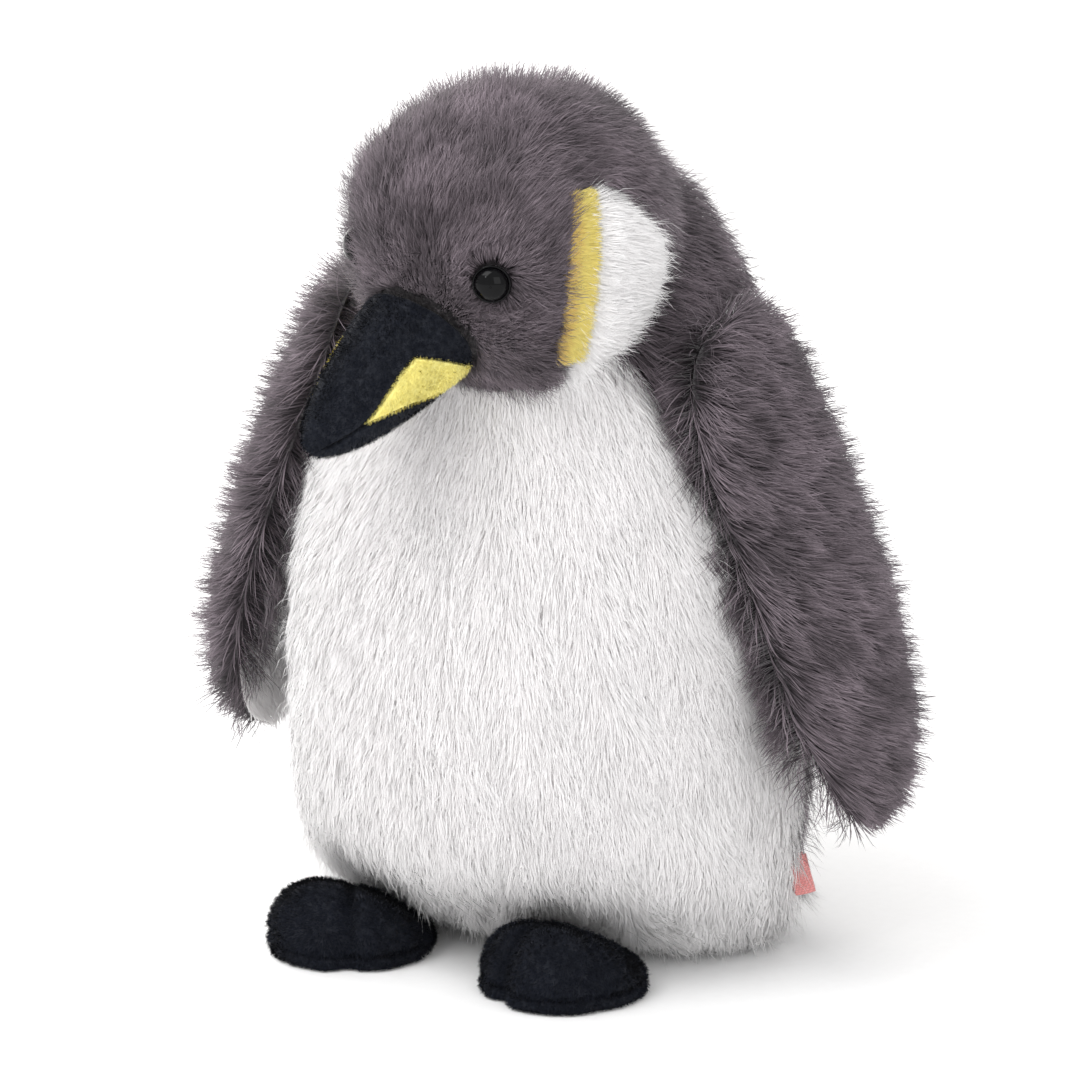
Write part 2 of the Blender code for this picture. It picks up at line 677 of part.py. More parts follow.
def build():
    clear_scene()
    fur_grey = make_material("grey_long_pile", (0.147, 0.119, 0.130), 0.95)
    fur_white = make_material("white_long_pile", (0.81, 0.78, 0.78), 0.95)
    fur_yellow = make_material("yellow_long_pile", (0.87, 0.70, 0.12), 0.95)
    minky_black = make_material("black_minky", (0.013, 0.014, 0.021), 0.9)
    minky_yellow = make_material("yellow_minky", (0.82, 0.73, 0.16), 0.9)
    glass = make_material("black_eye_plastic", (0.004, 0.004, 0.004), 0.08)
    plastic = make_material("white_washer_plastic", (0.75, 0.75, 0.72), 0.5)
    fibre = make_material("polyester_fibre", (0.80, 0.80, 0.80), 1.0)
    cotton = make_material("bag_cotton", (0.70, 0.66, 0.58), 0.9)
    pellet = make_material("pellet_plastic", (0.70, 0.72, 0.74), 0.5)
    ribbon = make_material("red_satin_ribbon", (0.75, 0.16, 0.15), 0.5)

    make_body(fur_white, fur_grey, cotton, fibre, pellet)
    neck_middle = HEAD_CENTRE - NECK_NORMAL * (HEAD_CENTRE - NECK_POINT).dot(NECK_NORMAL)
    neck = make_hub("neck_pivot", neck_middle)
    make_head(neck, fur_grey, fur_white, fur_yellow, glass, plastic, fibre)
    make_beak(neck, minky_black, minky_yellow, fibre)
    for side, word in ((1, "left"), (-1, "right")):
        shoulder = make_hub("shoulder_pivot_" + word,
                            (side * WING_PIVOT[0], WING_LINE[0][1], WING_PIVOT[1]))
        make_wing(side, word, shoulder, fur_grey, fur_white, fibre)
        x, y = FOOT_CENTRES[word]
        ankle = make_hub("foot_pivot_" + word, (x, y + FOOT_PIVOT[0], FOOT_PIVOT[1]))
        make_foot(side, word, ankle, minky_black, fibre)
    make_label(make_hub("label_pivot", label_seat()[0]), ribbon)
    bpy.context.view_layer.update()


build()
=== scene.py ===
"""The looks of a plush penguin chick: long grey and white pile, short-pile beak and feet, glossy black eyes.

Every soft part is a stuffed cover with its pile standing on it as real strands, built round the fixed frame.
"""

import json
from math import cos, pi, radians, sin

import bpy
import numpy as np
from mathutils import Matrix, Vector


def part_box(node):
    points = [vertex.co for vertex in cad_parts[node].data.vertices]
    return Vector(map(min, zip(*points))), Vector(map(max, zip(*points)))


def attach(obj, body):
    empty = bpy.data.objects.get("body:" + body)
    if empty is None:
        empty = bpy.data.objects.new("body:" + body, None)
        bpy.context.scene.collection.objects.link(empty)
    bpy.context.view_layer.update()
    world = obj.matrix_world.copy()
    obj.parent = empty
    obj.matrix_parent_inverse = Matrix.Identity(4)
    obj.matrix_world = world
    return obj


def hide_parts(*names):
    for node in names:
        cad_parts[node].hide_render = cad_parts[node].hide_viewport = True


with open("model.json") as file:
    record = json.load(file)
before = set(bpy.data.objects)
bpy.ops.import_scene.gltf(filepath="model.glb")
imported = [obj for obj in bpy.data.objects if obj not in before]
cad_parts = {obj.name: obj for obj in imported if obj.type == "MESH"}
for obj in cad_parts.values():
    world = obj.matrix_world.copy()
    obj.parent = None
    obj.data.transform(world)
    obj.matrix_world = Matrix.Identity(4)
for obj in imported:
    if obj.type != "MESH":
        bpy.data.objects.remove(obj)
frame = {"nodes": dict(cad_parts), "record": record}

bl_info = {
    "name": "Plush Penguin Looks",
    "version": (1, 0, 0),
    "blender": (4, 5, 0),
    "location": "3D View > Sidebar > Plush",
    "description": "Covers, pile and materials of a plush penguin chick",
    "category": "Object",
}

MM = 0.001
SIDES = ((1, "left"), (-1, "right"))
MAIN_SEED = 4711
JOINTS = {joint["name"]: joint for joint in frame["record"]["behaviour"]["joints"]}
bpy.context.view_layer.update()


def joint_place(name):
    """A joint's place in millimetres."""
    return np.array(JOINTS[name]["pos_m"]) / MM


def joint_axis(name):
    return np.array(JOINTS[name]["axis"]) / np.linalg.norm(JOINTS[name]["axis"])


SHOULDER_LEFT = joint_place("wing_left_lift")
SHOULDER_RIGHT = joint_place("wing_right_lift")
NECK = joint_place("neck_turn")
NECK_AXIS = joint_axis("neck_turn")
MIDDLE_X = (SHOULDER_LEFT[0] + SHOULDER_RIGHT[0]) / 2
BASE_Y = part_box("base_panel")[0].y / MM + 13.6

# body sections at the pile's tips: front point (y, z), rear point (y, z), half width, sideways lean
BODY_SECTIONS = np.array((
    (-26.0, 0.0, 26.0, 0.0, 50.0, 0.0),
    (-43.0, 11.0, 37.0, 8.0, 69.0, 0.0),
    (-71.0, 25.0, 43.0, 18.0, 80.0, 0.0),
    (-92.0, 43.0, 48.0, 40.0, 85.0, 2.0),
    (-102.0, 78.0, 51.0, 82.0, 87.0, 5.0),
    (-103.0, 114.0, 49.0, 124.0, 86.5, 6.0),
    (-98.0, 148.0, 45.0, 168.0, 80.0, 6.0),
    (-92.0, 174.0, 40.0, 208.0, 67.0, 6.0),
    (-88.0, 188.0, 27.0, 240.0, 54.0, 6.0),
    (-86.5, 193.3, -1.0, 258.4, 47.5, 6.0),
)) + (BASE_Y, 0, BASE_Y, 0, 0, MIDDLE_X - 6.0)
BODY_TOP = len(BODY_SECTIONS) - 1.0

HEAD_CENTRE = NECK + NECK_AXIS * (1 if NECK_AXIS[2] > 0 else -1) * 18.7
HEAD_RADIUS = 51.0
HEAD_YAW = 16.0        # how far the head is turned to the penguin's right
NAPE_REACH = 13.0      # how far the nape stands out of the ball
NAPE_DIRECTION = np.array((0.0, 0.97, 0.243))
NECK_POINT = HEAD_CENTRE + (0.0, -26.5, -43.7)
NECK_NORMAL = np.array((0.0, -0.606, 0.795))
FACE_EDGE = 67.0       # longitudes of the seams before and behind the stripe and behind the cheek patch
STRIPE_EDGE = 76.0
CHEEK_EDGE = 126.0

BEAK_YAW = 17.0
BEAK_PITCH = 30.5
BEAK_BLUNT = 2.8       # how squarely the tip closes; 2 would be an oval
BEAK_LENGTH = 49.0
BEAK_HALF_WIDTH = 21.0
BEAK_HALF_HEIGHT = 17.0
BEAK_DROOP = 5.0
BEAK_SWEEP = 6.0       # how far the tip bends to the penguin's right
BEAK_TAPER = (0.28, 0.34)  # how much its width and height lose from the face to the tip
PATCH_LENGTH = 0.74      # share of the beak that the yellow patches run along
# yellow patch: share of the beak's length, upper and lower edge as angles round it from its top
PATCH_EDGES = np.array((
    (0.0, 120.0, 150.0),
    (0.07, 107.0, 147.0),
    (0.14, 90.0, 141.0),
    (0.28, 56.0, 124.0),
    (0.42, 58.0, 107.0),
    (0.56, 66.0, 95.5),
    (0.70, 76.0, 84.5),
    (0.77, 80.0, 80.0),
    (1.0, 80.0, 80.0),
))

EYE_LONGITUDE = 39.0
EYE_LATITUDE = 0.5
EYE_RADIUS = 6.0

# wings: x from the middle, y and z of the line from shoulder to tip, half chord, half thickness
WING_LINE = np.array((
    (61.5, 0.0, 216.0, 36.0, 9.5),
    (73.0, 1.0, 190.0, 37.0, 10.5),
    (87.0, 3.0, 157.0, 38.0, 11.0),
    (100.0, 5.0, 121.0, 38.0, 11.0),
    (108.0, 7.0, 84.0, 36.0, 10.5),
    (107.0, 11.0, 49.0, 29.0, 10.0),
)) + (0, SHOULDER_LEFT[1], 0, 0, 0)
WING_WRAP = 14.0       # how far a wing's edges curl in
WING_ROOT_FULL = 5.0   # how squarely each end of a wing closes
WING_TIP_FULL = 3.2

FOOT_CENTRES = {
    "left": joint_place("foot_left_bend") * (1, 1, 0) + (0, -25.0, 0),
    "right": joint_place("foot_right_bend") * (1, 1, 0) + (0, -25.0, 0),
}
FOOT_SPLAY = 14.0
FOOT_HALF_WIDTH = 26.0
FOOT_HALF_LENGTH = 27.0
FOOT_HEIGHT = 26.0
FOOT_SLOPE = 0.72      # how much lower the heel is than the toes
SOLE_THICK = 4.0
CREASE_TURN = 38.0
CREASE_INNER = (0.13, 10)      # depth and angular width of the crease by the inner toe
CREASE_OUTER = (0.04, 8)
TOE_SWELL = 0.04


# ---------------------------------------------------------------- user settings

def length(name, description, default):
    """A length property in metres that may be changed from a quarter to twice its default."""
    return bpy.props.FloatProperty(name=name, description=description, default=default, min=default / 4,
                                   max=default * 2, unit="LENGTH")


class PlushSizes(bpy.types.PropertyGroup):
    """Sizes that a maker would change."""

    body_pile: length("Body pile", "Length of the strands on the body", 0.0135)
    head_pile: length("Head pile", "Length of the strands on the head", 0.0125)
    wing_pile: length("Wing pile", "Length of the strands on the wings", 0.0130)
    strand_width: length("Strand width", "Width of a tuft of fibres at its root", 0.00030)
    fuzz: length("Minky nap", "Length of the short nap of the beak and feet", 0.0020)
    density: bpy.props.FloatProperty(
        name="Density", description="Share of the strands that are built",
        default=1.0, min=0.05, max=1.0, subtype="FACTOR")


def hex_colour(name, description, code):
    """A colour property whose default is an sRGB hex code."""
    return bpy.props.FloatVectorProperty(
        name=name, description=description, subtype="COLOR", size=3,
        min=0.0, max=1.0, default=linear(code)[:3])


def linear(code):
    """The linear colour of an sRGB hex code such as 6b6165."""
    channels = [int(code[k:k + 2], 16) / 255 for k in (0, 2, 4)]
    return [c / 12.92 if c <= 0.04045 else ((c + 0.055) / 1.055) ** 2.4 for c in channels] + [1.0]


class PlushColours(bpy.types.PropertyGroup):
    """Colours that a maker would change."""

    # The root colours are the darker ends of each pile's ramp: painted shade between the roots.
    grey_root_shaded: hex_colour("Grey root", "Grey pile near its backing", "2a2328")
    grey_tip: hex_colour("Grey tip", "Grey pile at its tips", "7f747b")
    white_root_shaded: hex_colour("White root", "White pile near its backing", "f6f3f3")
    white_tip: hex_colour("White tip", "White pile at its tips", "fbfafa")
    yellow: hex_colour("Yellow", "Yellow pile of the cheek stripe", "f6e684")
    amber: hex_colour("Amber", "Shaded edge of the cheek stripe", "dfb468")
    black: hex_colour("Black", "Near-black nap of the beak and feet", "0d121e")
    lemon: hex_colour("Lemon", "Lemon nap of the beak's sides", "f4ea8c")
    label: hex_colour("Label", "Ribbon of the sewn-in label", "e8918e")


def sizes():
    return bpy.context.scene.plush_sizes


def colours():
    return bpy.context.scene.plush_colours


# ---------------------------------------------------------------- curves and vectors

def smooth(table, station):
    """Catmull-Rom curve through a table's rows: each fractional row's values, from the four rows round it."""
    last = len(table) - 1
    row = np.clip(np.floor(station).astype(int), 0, last - 1)
    t = (station - row)[..., None]
    before, here, there, after = (table[np.clip(row + k, 0, last)] for k in (-1, 0, 1, 2))
    return 0.5 * (2 * here + (there - before) * t
                  + (2 * before - 5 * here + 4 * there - after) * t**2
                  + (3 * here - before - 3 * there + after) * t**3)


def ease(low, high, value):
    """0 below low, 1 above high, and 3t^2 - 2t^3 between them."""
    t = np.clip((value - low) / (high - low), 0.0, 1.0)
    return t * t * (3 - 2 * t)


def unit(vectors):
    return vectors / np.maximum(np.linalg.norm(vectors, axis=-1, keepdims=True), 1e-9)


def vec(x, y, z):
    """Three arrays of one shape as an array of points."""
    return np.stack(np.broadcast_arrays(x, y, z), axis=-1)


# ---------------------------------------------------------------- surfaces, in millimetres

def body_point(station, angle, depth):
    """Ellipses through each section's front and rear points:
    middle + (lean + (w - d) sin a, 0, 0) - back * (length / 2 - d) cos a."""
    row = smooth(BODY_SECTIONS, station)
    back = row[..., 2:4] - row[..., 0:2]
    length = np.linalg.norm(back, axis=-1)
    back = back / length[..., None]
    middle = (row[..., 2:4] + row[..., 0:2]) / 2
    turn = np.radians(angle)
    reach = (length / 2 - depth) * np.cos(turn)
    return vec(row[..., 5] + (row[..., 4] - depth) * np.sin(turn),
               middle[..., 0] - back[..., 0] * reach, middle[..., 1] - back[..., 1] * reach)


def belly_edge(station):
    """The angle of the side seams: 112 degrees at the base, forward under the wings, and 54 at the neck."""
    return 112.0 - 34.0 * station / BODY_TOP - 24.0 * ease(3.4, 7.0, station)


def head_direction(longitude, latitude):
    """(cos m sin(l - yaw), -cos m cos(l - yaw), sin m)."""
    turn, lift = np.radians(longitude - HEAD_YAW), np.radians(latitude)
    return vec(np.cos(lift) * np.sin(turn), -np.cos(lift) * np.cos(turn), np.sin(lift))


def head_point(longitude, latitude, depth):
    """A ball drawn out towards the nape: centre + direction * (51 + 13 max(0, direction . nape)^5 - d)."""
    direction = head_direction(longitude, latitude)
    reach = NAPE_REACH * np.maximum(0.0, direction @ NAPE_DIRECTION) ** 5
    return HEAD_CENTRE + direction * (HEAD_RADIUS + reach - depth)[..., None]


def neck_latitude(longitude, depth):
    """The latitude where a meridian meets the neck seam's plane, by halving."""
    low, high = np.full_like(longitude, -85.0), np.full_like(longitude, 60.0)
    for _ in range(24):
        middle = (low + high) / 2
        under = (head_point(longitude, middle, depth) - NECK_POINT) @ NECK_NORMAL < 0.8
        low, high = np.where(under, middle, low), np.where(under, high, middle)
    return high


def crown_latitude(longitude):
    """The crown's seam: 34 degrees in front, down to 14 behind the cheek patches and up to 46 at the rear."""
    turn = np.abs(longitude)
    return 34.0 - 20.0 * ease(84.0, CHEEK_EDGE, turn) + 32.0 * ease(CHEEK_EDGE, 175.0, turn)


def beak_axes():
    """Unit vectors along the beak, up from it and to the penguin's left."""
    yaw, pitch = radians(-BEAK_YAW), radians(BEAK_PITCH)
    turn = np.array(((cos(yaw), -sin(yaw), 0), (sin(yaw), cos(yaw), 0), (0, 0, 1)))
    return (turn @ (0.0, -cos(pitch), -sin(pitch)), turn @ (0.0, -sin(pitch), cos(pitch)),
            turn @ (1.0, 0.0, 0.0))


def beak_point(share, angle, depth):
    """Ovals of half axes 21 (1 - 0.28 s) and 17 (1 - 0.34 s), times sqrt(1 - s^2.8), drooping by 5 s^2 and
    bent to the penguin's right by 6 s^2."""
    ahead, up, left = beak_axes()
    blunt = np.sqrt(np.maximum(0.0, 1 - share**BEAK_BLUNT))
    turn = np.radians(angle)
    across = (BEAK_HALF_WIDTH * (1 - BEAK_TAPER[0] * share) - depth) * blunt * np.sin(turn)
    lift = (BEAK_HALF_HEIGHT * (1 - BEAK_TAPER[1] * share) - depth) * blunt * np.cos(turn)
    seat = HEAD_RADIUS - 4.0
    on_face = np.sqrt(seat**2 - across**2 - lift**2)
    advance = on_face * (1 - share) + (seat + BEAK_LENGTH - 1.0 - depth) * share
    return (HEAD_CENTRE + ahead * advance[..., None] + left * (across - BEAK_SWEEP * share**2)[..., None]
            + up * (lift - BEAK_DROOP * share**2)[..., None])


def patch_edge(share, column):
    """The upper (1) or lower (2) edge of the yellow patch, straight between the table's rows."""
    return np.interp(share, PATCH_EDGES[:, 0], PATCH_EDGES[:, column])


def along_surface(vectors, normals):
    """The share of each vector that lies along the surface."""
    return vectors - normals * np.einsum("ij,ij->i", vectors, normals)[:, None]


def facing(normals, away):
    """Turns a whole patch of normals so that on average they point away."""
    return normals * np.sign(np.sum(normals * away))


def wing_point(side, along, angle, depth):
    """Flat ovals down a curved line, closed at both ends: half chord and thickness times (1 - |s|^k)^0.45,
    with the edges curled in by 14 (chord / 38)^2."""
    last = len(WING_LINE) - 1
    length = np.linalg.norm(np.diff(WING_LINE[:, :3], axis=0), axis=1).sum()
    swing = -np.cos(pi * along)
    station = last * (0.5 + swing * (0.5 - depth / length))
    row = smooth(WING_LINE, station)
    run = (smooth(WING_LINE, np.minimum(station + 0.01, last))
           - smooth(WING_LINE, np.maximum(station - 0.01, 0)))[..., :3] * (1, 0, 1)
    run = unit(run)
    fullness = np.where(swing < 0, WING_ROOT_FULL, WING_TIP_FULL)
    full = np.maximum(0.0, 1 - np.abs(swing) ** fullness) ** 0.45
    turn = np.radians(angle)
    chord = (row[..., 3] - depth) * full * np.cos(turn)
    thick = (row[..., 4] - depth) * full * np.sin(turn)
    lift = thick - WING_WRAP * (chord / 38.0) ** 2
    x = row[..., 0] - run[..., 2] * lift
    return vec(MIDDLE_X + side * x, row[..., 1] - chord, row[..., 2] + run[..., 0] * lift)


def toe_lobe(side, turn):
    """Three toes: 0.04 cos a, less a deep crease on the inner side and a faint one on the outer,
    each a bell curve about 38 degrees from straight ahead."""
    degrees = np.degrees(turn)
    inner = CREASE_INNER[0] * np.exp(-((degrees + side * CREASE_TURN) / CREASE_INNER[1]) ** 2)
    outer = CREASE_OUTER[0] * np.exp(-((degrees - side * CREASE_TURN) / CREASE_OUTER[1]) ** 2)
    return TOE_SWELL * np.maximum(0.0, np.cos(turn)) - inner - outer


def foot_outline(side, turn, depth):
    """An oval 26 by 27, narrower at the heel and widened where each toe is, turned out by 14 degrees."""
    lobe = toe_lobe(side, turn)
    heel = 1 - 0.16 * np.maximum(0.0, -np.cos(turn))
    x = (FOOT_HALF_WIDTH * heel * (1 + lobe) - depth) * np.sin(turn)
    y = -(FOOT_HALF_LENGTH * (1 + lobe) - depth) * np.cos(turn)
    splay = radians(side * FOOT_SPLAY)
    return x * cos(splay) - y * sin(splay), x * sin(splay) + y * cos(splay)


def foot_point(side, middle, u, v, depth):
    """The outline drawn in by cos(l)^0.7 while it rises by sin(l), sloping down to the heel."""
    turn, lift = 2 * pi * u - pi, v * pi / 2
    x, y = foot_outline(side, turn, depth)
    drawn = np.cos(lift) ** 0.7
    x, y = x * drawn, y * drawn
    slope = 1 - FOOT_SLOPE * ease(-18.0, 18.0, y)
    toes = 1 + 1.6 * toe_lobe(side, turn) * np.cos(lift) ** 0.8
    height = (FOOT_HEIGHT - SOLE_THICK - depth) * np.sin(lift) * slope * toes
    return vec(middle[0] + x, middle[1] + y, SOLE_THICK + 0.2 + np.maximum(height, 0.0))


# ---------------------------------------------------------------- meshes

def placed(name, mesh):
    """A mesh as an object of the scene, at the origin."""
    piece = bpy.data.objects.new(name, mesh)
    bpy.context.scene.collection.objects.link(piece)
    return piece


def new_piece(name, points, faces, uvs=None):
    """A mesh object at the origin from points in millimetres and an array or list of faces."""
    mesh = bpy.data.meshes.new(name)
    mesh.from_pydata((np.asarray(points) * MM).tolist(), [], np.asarray(faces).tolist()
                     if isinstance(faces, np.ndarray) else faces)
    mesh.polygons.foreach_set("use_smooth", np.ones(len(mesh.polygons), bool))
    if uvs is not None:
        layer = mesh.uv_layers.new(name="surface")
        corner = np.zeros(len(mesh.loops), int)
        mesh.loops.foreach_get("vertex_index", corner)
        layer.data.foreach_set("uv", np.asarray(uvs, np.float32)[corner].ravel())
    mesh.update()
    return placed(name, mesh)


def grid_uv(columns, rows):
    u, v = np.meshgrid(np.linspace(0, 1, columns), np.linspace(0, 1, rows), indexing="ij")
    return u, v


def tube_faces(columns, rows):
    """Quads between neighbouring columns (wrapping round) and rows of a grid numbered column by column."""
    i, j = np.meshgrid(np.arange(columns), np.arange(rows - 1), indexing="ij")
    k = (i + 1) % columns
    return np.stack([i * rows + j, k * rows + j, k * rows + j + 1, i * rows + j + 1], -1).reshape(-1, 4)


def closed_form(name, place, columns, rows):
    """A closed surface: place(u, v) with u round it and v from end to end, its ends drawn to a point."""
    u, v = np.meshgrid(np.arange(columns) / columns, np.linspace(0, 1, rows), indexing="ij")
    points = place(u, v)
    flat = points.reshape(-1, 3)
    ends = np.array([points[:, 0].mean(0), points[:, -1].mean(0)])
    total = len(flat)
    faces = tube_faces(columns, rows).tolist()
    ring = np.arange(columns)
    following = (ring + 1) % columns
    faces += np.stack([following * rows, ring * rows, np.full(columns, total)], -1).tolist()
    faces += np.stack([ring * rows + rows - 1, following * rows + rows - 1,
                       np.full(columns, total + 1)], -1).tolist()
    uvs = np.concatenate([np.stack([u.ravel(), v.ravel()], -1), [(0.5, 0.0), (0.5, 1.0)]])
    return outward(new_piece(name, np.concatenate([flat, ends]), faces, uvs))


def panel_form(name, outer, inner):
    """A sewn panel as a closed shell: an outer and an inner grid of points, joined round their edges."""
    columns, rows = outer.shape[:2]
    loop = np.concatenate([outer, inner[::-1]], axis=0)
    faces = tube_faces(2 * columns, rows).tolist()
    i = np.arange(columns - 1)
    far = 2 * columns - 1 - i
    for row, flip in ((0, False), (rows - 1, True)):
        cap = np.stack([far * rows, (far - 1) * rows, (i + 1) * rows, i * rows], -1) + row
        faces += (cap[:, ::-1] if flip else cap).tolist()
    u, v = grid_uv(2 * columns, rows)
    return outward(new_piece(name, loop.reshape(-1, 3), faces, np.stack([u.ravel(), v.ravel()], -1)))


def outward(piece):
    """Turns the faces of a closed mesh outwards, by the sign of its volume."""
    mesh = piece.data
    mesh.calc_loop_triangles()
    corners = np.zeros(len(mesh.loop_triangles) * 3, int)
    mesh.loop_triangles.foreach_get("vertices", corners)
    points = np.zeros(len(mesh.vertices) * 3)
    mesh.vertices.foreach_get("co", points)
    a, b, c = points.reshape(-1, 3)[corners.reshape(-1, 3)].transpose(1, 0, 2)
    if np.einsum("ij,ij->", a, np.cross(b, c)) < 0:
        mesh.flip_normals()
    return piece


def stuff(piece, pressure, most):
    """Swells a cover like stuffing does: a cloth simulation with air pressure, where no point moves further
    than most millimetres, and one subdivision after it."""
    rest = np.zeros(len(piece.data.vertices) * 3)
    piece.data.vertices.foreach_get("co", rest)
    cloth = piece.modifiers.new("stuffing", "CLOTH")
    cloth.settings.use_pressure = True
    cloth.settings.uniform_pressure_force = pressure
    cloth.settings.quality = 4
    cloth.settings.effector_weights.gravity = 0
    cloth.collision_settings.use_collision = False
    scene = bpy.context.scene
    for step in range(1, 13):
        scene.frame_set(step)
    held = piece.evaluated_get(bpy.context.evaluated_depsgraph_get())
    swollen = np.zeros_like(rest)
    held.data.vertices.foreach_get("co", swollen)
    piece.modifiers.remove(cloth)
    scene.frame_set(1)
    move = (swollen - rest).reshape(-1, 3)
    far = np.linalg.norm(move, axis=1, keepdims=True)
    move = move * np.minimum(1.0, most * MM / np.maximum(far, 1e-9))
    move = np.nan_to_num(move)
    piece.data.vertices.foreach_set("co", (rest.reshape(-1, 3) + move).ravel())
    finer = piece.modifiers.new("finer", "SUBSURF")
    finer.levels = 1
    finer.render_levels = 1
    piece.data.update()
    return piece


# ---------------------------------------------------------------- pile

WAVES = 6


def wave_field(points, length, rng):
    """The slope of a sum of sines of one wavelength in random directions: a smooth field that pulls points
    together in tufts about half a wavelength apart."""
    directions = unit(rng.normal(size=(WAVES, 3)))
    phase = points @ directions.T * (2 * pi / length) + rng.uniform(0, 2 * pi, WAVES)
    return np.cos(phase) @ directions / np.sqrt(WAVES)


def surface_roots(place, count, rng, cells=140):
    """Roots spread evenly over place(u, v): cells of a grid drawn by their area, a place in each at random.
    Returns the roots, their normals, the direction of growing v, and u and v."""
    u, v = grid_uv(cells + 1, cells + 1)
    points = place(u, v)
    along_u = points[1:, :-1] - points[:-1, :-1] + points[1:, 1:] - points[:-1, 1:]
    along_v = points[:-1, 1:] - points[:-1, :-1] + points[1:, 1:] - points[1:, :-1]
    normal = np.cross(along_u, along_v)
    weight = np.linalg.norm(normal, axis=-1).ravel()
    cell = rng.choice(weight.size, strands(count), p=weight / weight.sum())
    i, j = np.divmod(cell, cells)
    s, t = rng.uniform(size=(2, len(cell)))
    us, vs = (i + s) / cells, (j + t) / cells
    return place(us, vs), unit(normal[i, j]), unit(along_v[i, j]), us, vs


def roots_round(place, count, rng, middle):
    """Roots on a surface, with normals that point away from a middle, and their u and v."""
    roots, normals, _, us, vs = surface_roots(place, count, rng)
    return roots, facing(normals, roots - middle), us, vs


def strand_rings(roots, normals, flow, length, rng, marks, lift, tuft, tuft_size, stray, swirl, ragged, wild):
    """Each strand's points at the marks from root to tip, its sideways direction, and if it stands up."""
    count = len(roots)
    bend = wave_field(roots, 26.0, rng) + 0.6 * wave_field(roots, 11.0, rng)
    flow = flow + swirl * bend + stray * rng.normal(size=(count, 3))
    flow = unit(along_surface(flow, normals))
    length = np.broadcast_to(length, (count,))[:, None] * (1 - ragged * rng.uniform(-0.6, 1, (count, 1)) ** 2)
    rise = np.clip(np.broadcast_to(lift, (count,))[:, None] + 0.10 * wave_field(roots, 17.0, rng)[:, :1]
                   + 0.5 * stray * rng.normal(size=(count, 1)), 0.12, 0.98)
    upright = rng.uniform(size=(count, 1)) < wild
    rise = np.where(upright, np.clip(rise + rng.uniform(0.15, 0.4, (count, 1)), 0.0, 0.97), rise)
    length = np.where(upright, length * rng.uniform(1.0, 1.3, (count, 1)), length)
    slide = np.sqrt(1 - rise**2)
    pull = wave_field(roots, tuft_size, rng) + 0.6 * wave_field(roots, tuft_size * 0.47, rng)
    pull = along_surface(pull, normals) * tuft
    spin = rng.uniform(-1.0, 1.0, (count, 1))
    across = unit(np.cross(flow, normals) * np.cos(spin) + normals * np.sin(spin))
    rings = [roots + normals * length * rise * sin(pi * t / 2)
             + flow * length * slide * (1 - cos(pi * t / 2)) ** 0.8 + pull * t**1.5 for t in marks]
    return rings, across, upright


def pile_piece(name, roots, normals, flow, length, rng, width=None, lift=0.62, tuft=2.2, tuft_size=6.0,
               stray=0.14, steps=3, tint=None, swirl=0.35, ragged=0.25, light=0.75, wild=0.16):
    """Strands on a cover. Each starts along the normal and lies over along the flow: with t from root to tip,
    root + normal * length * lift * sin(90 t) + flow * length * sqrt(1 - lift^2) * (1 - cos(90 t))^0.8,
    drawn into tufts by t^1.5 times a wave field. A strand is a ribbon that narrows to a point.

    tuft: how far the tips are drawn together, over tufts of tuft_size. swirl, stray: how much the flow bends
    from place to place and from strand to strand. ragged: how uneven the lengths are. wild: the share of
    long upright strands. light: 1 shades a strand like the cover under it, 0 like a ribbon of its own."""
    count = len(roots)
    width = (sizes().strand_width / MM if width is None else width) * rng.uniform(0.7, 1.25, (count, 1))
    marks = np.linspace(0, 1, steps + 1) ** 0.9
    rings, across, upright = strand_rings(roots, normals, flow, length, rng, marks, lift, tuft, tuft_size,
                                          stray, swirl, ragged, wild)
    width = np.where(upright, width * 0.7, width)
    columns = []
    for ring, mark in zip(rings[:-1], marks):
        half = across * width * (1 - 0.45 * mark**1.5) / 2
        columns += [ring - half, ring + half]
    columns.append(rings[-1])
    each = len(columns)
    points = np.stack(columns, axis=1).reshape(-1, 3)
    # pile that reaches the floor lies along it
    points[:, 2] = np.maximum(points[:, 2], 0.3 + 0.15 * np.abs(np.sin(points[:, 0] * 5)))
    start = (np.arange(count) * each)[:, None]
    quads = np.concatenate([start + (2 * k, 2 * k + 1, 2 * k + 3, 2 * k + 2) for k in range(steps - 1)])
    mesh = bpy.data.meshes.new(name)
    fill_mesh(mesh, points * MM, quads, start + (each - 3, each - 2, each - 1))

    shade = np.repeat(rng.uniform(size=count), each)
    heights = np.tile(np.append(np.repeat(marks[:-1], 2), 1.0), count)
    corner = np.zeros(len(mesh.loops), int)
    mesh.loops.foreach_get("vertex_index", corner)
    layer = mesh.uv_layers.new(name="strand")
    layer.data.foreach_set("uv", np.stack([shade, heights], -1).astype(np.float32)[corner].ravel())
    if tint is not None:
        mesh.attributes.new("tint", "FLOAT", "POINT").data.foreach_set(
            "value", np.repeat(tint, each).astype(np.float32))
    flat = unit(np.cross(across, unit(rings[-1] - rings[0])))
    flat = flat * np.where(np.einsum("ij,ij->i", flat, normals) < 0, -1, 1)[:, None]
    shading = np.repeat(unit(light * normals + (1 - light) * flat), each, axis=0)
    mesh.normals_split_custom_set_from_vertices(shading.tolist())
    return placed(name, mesh)


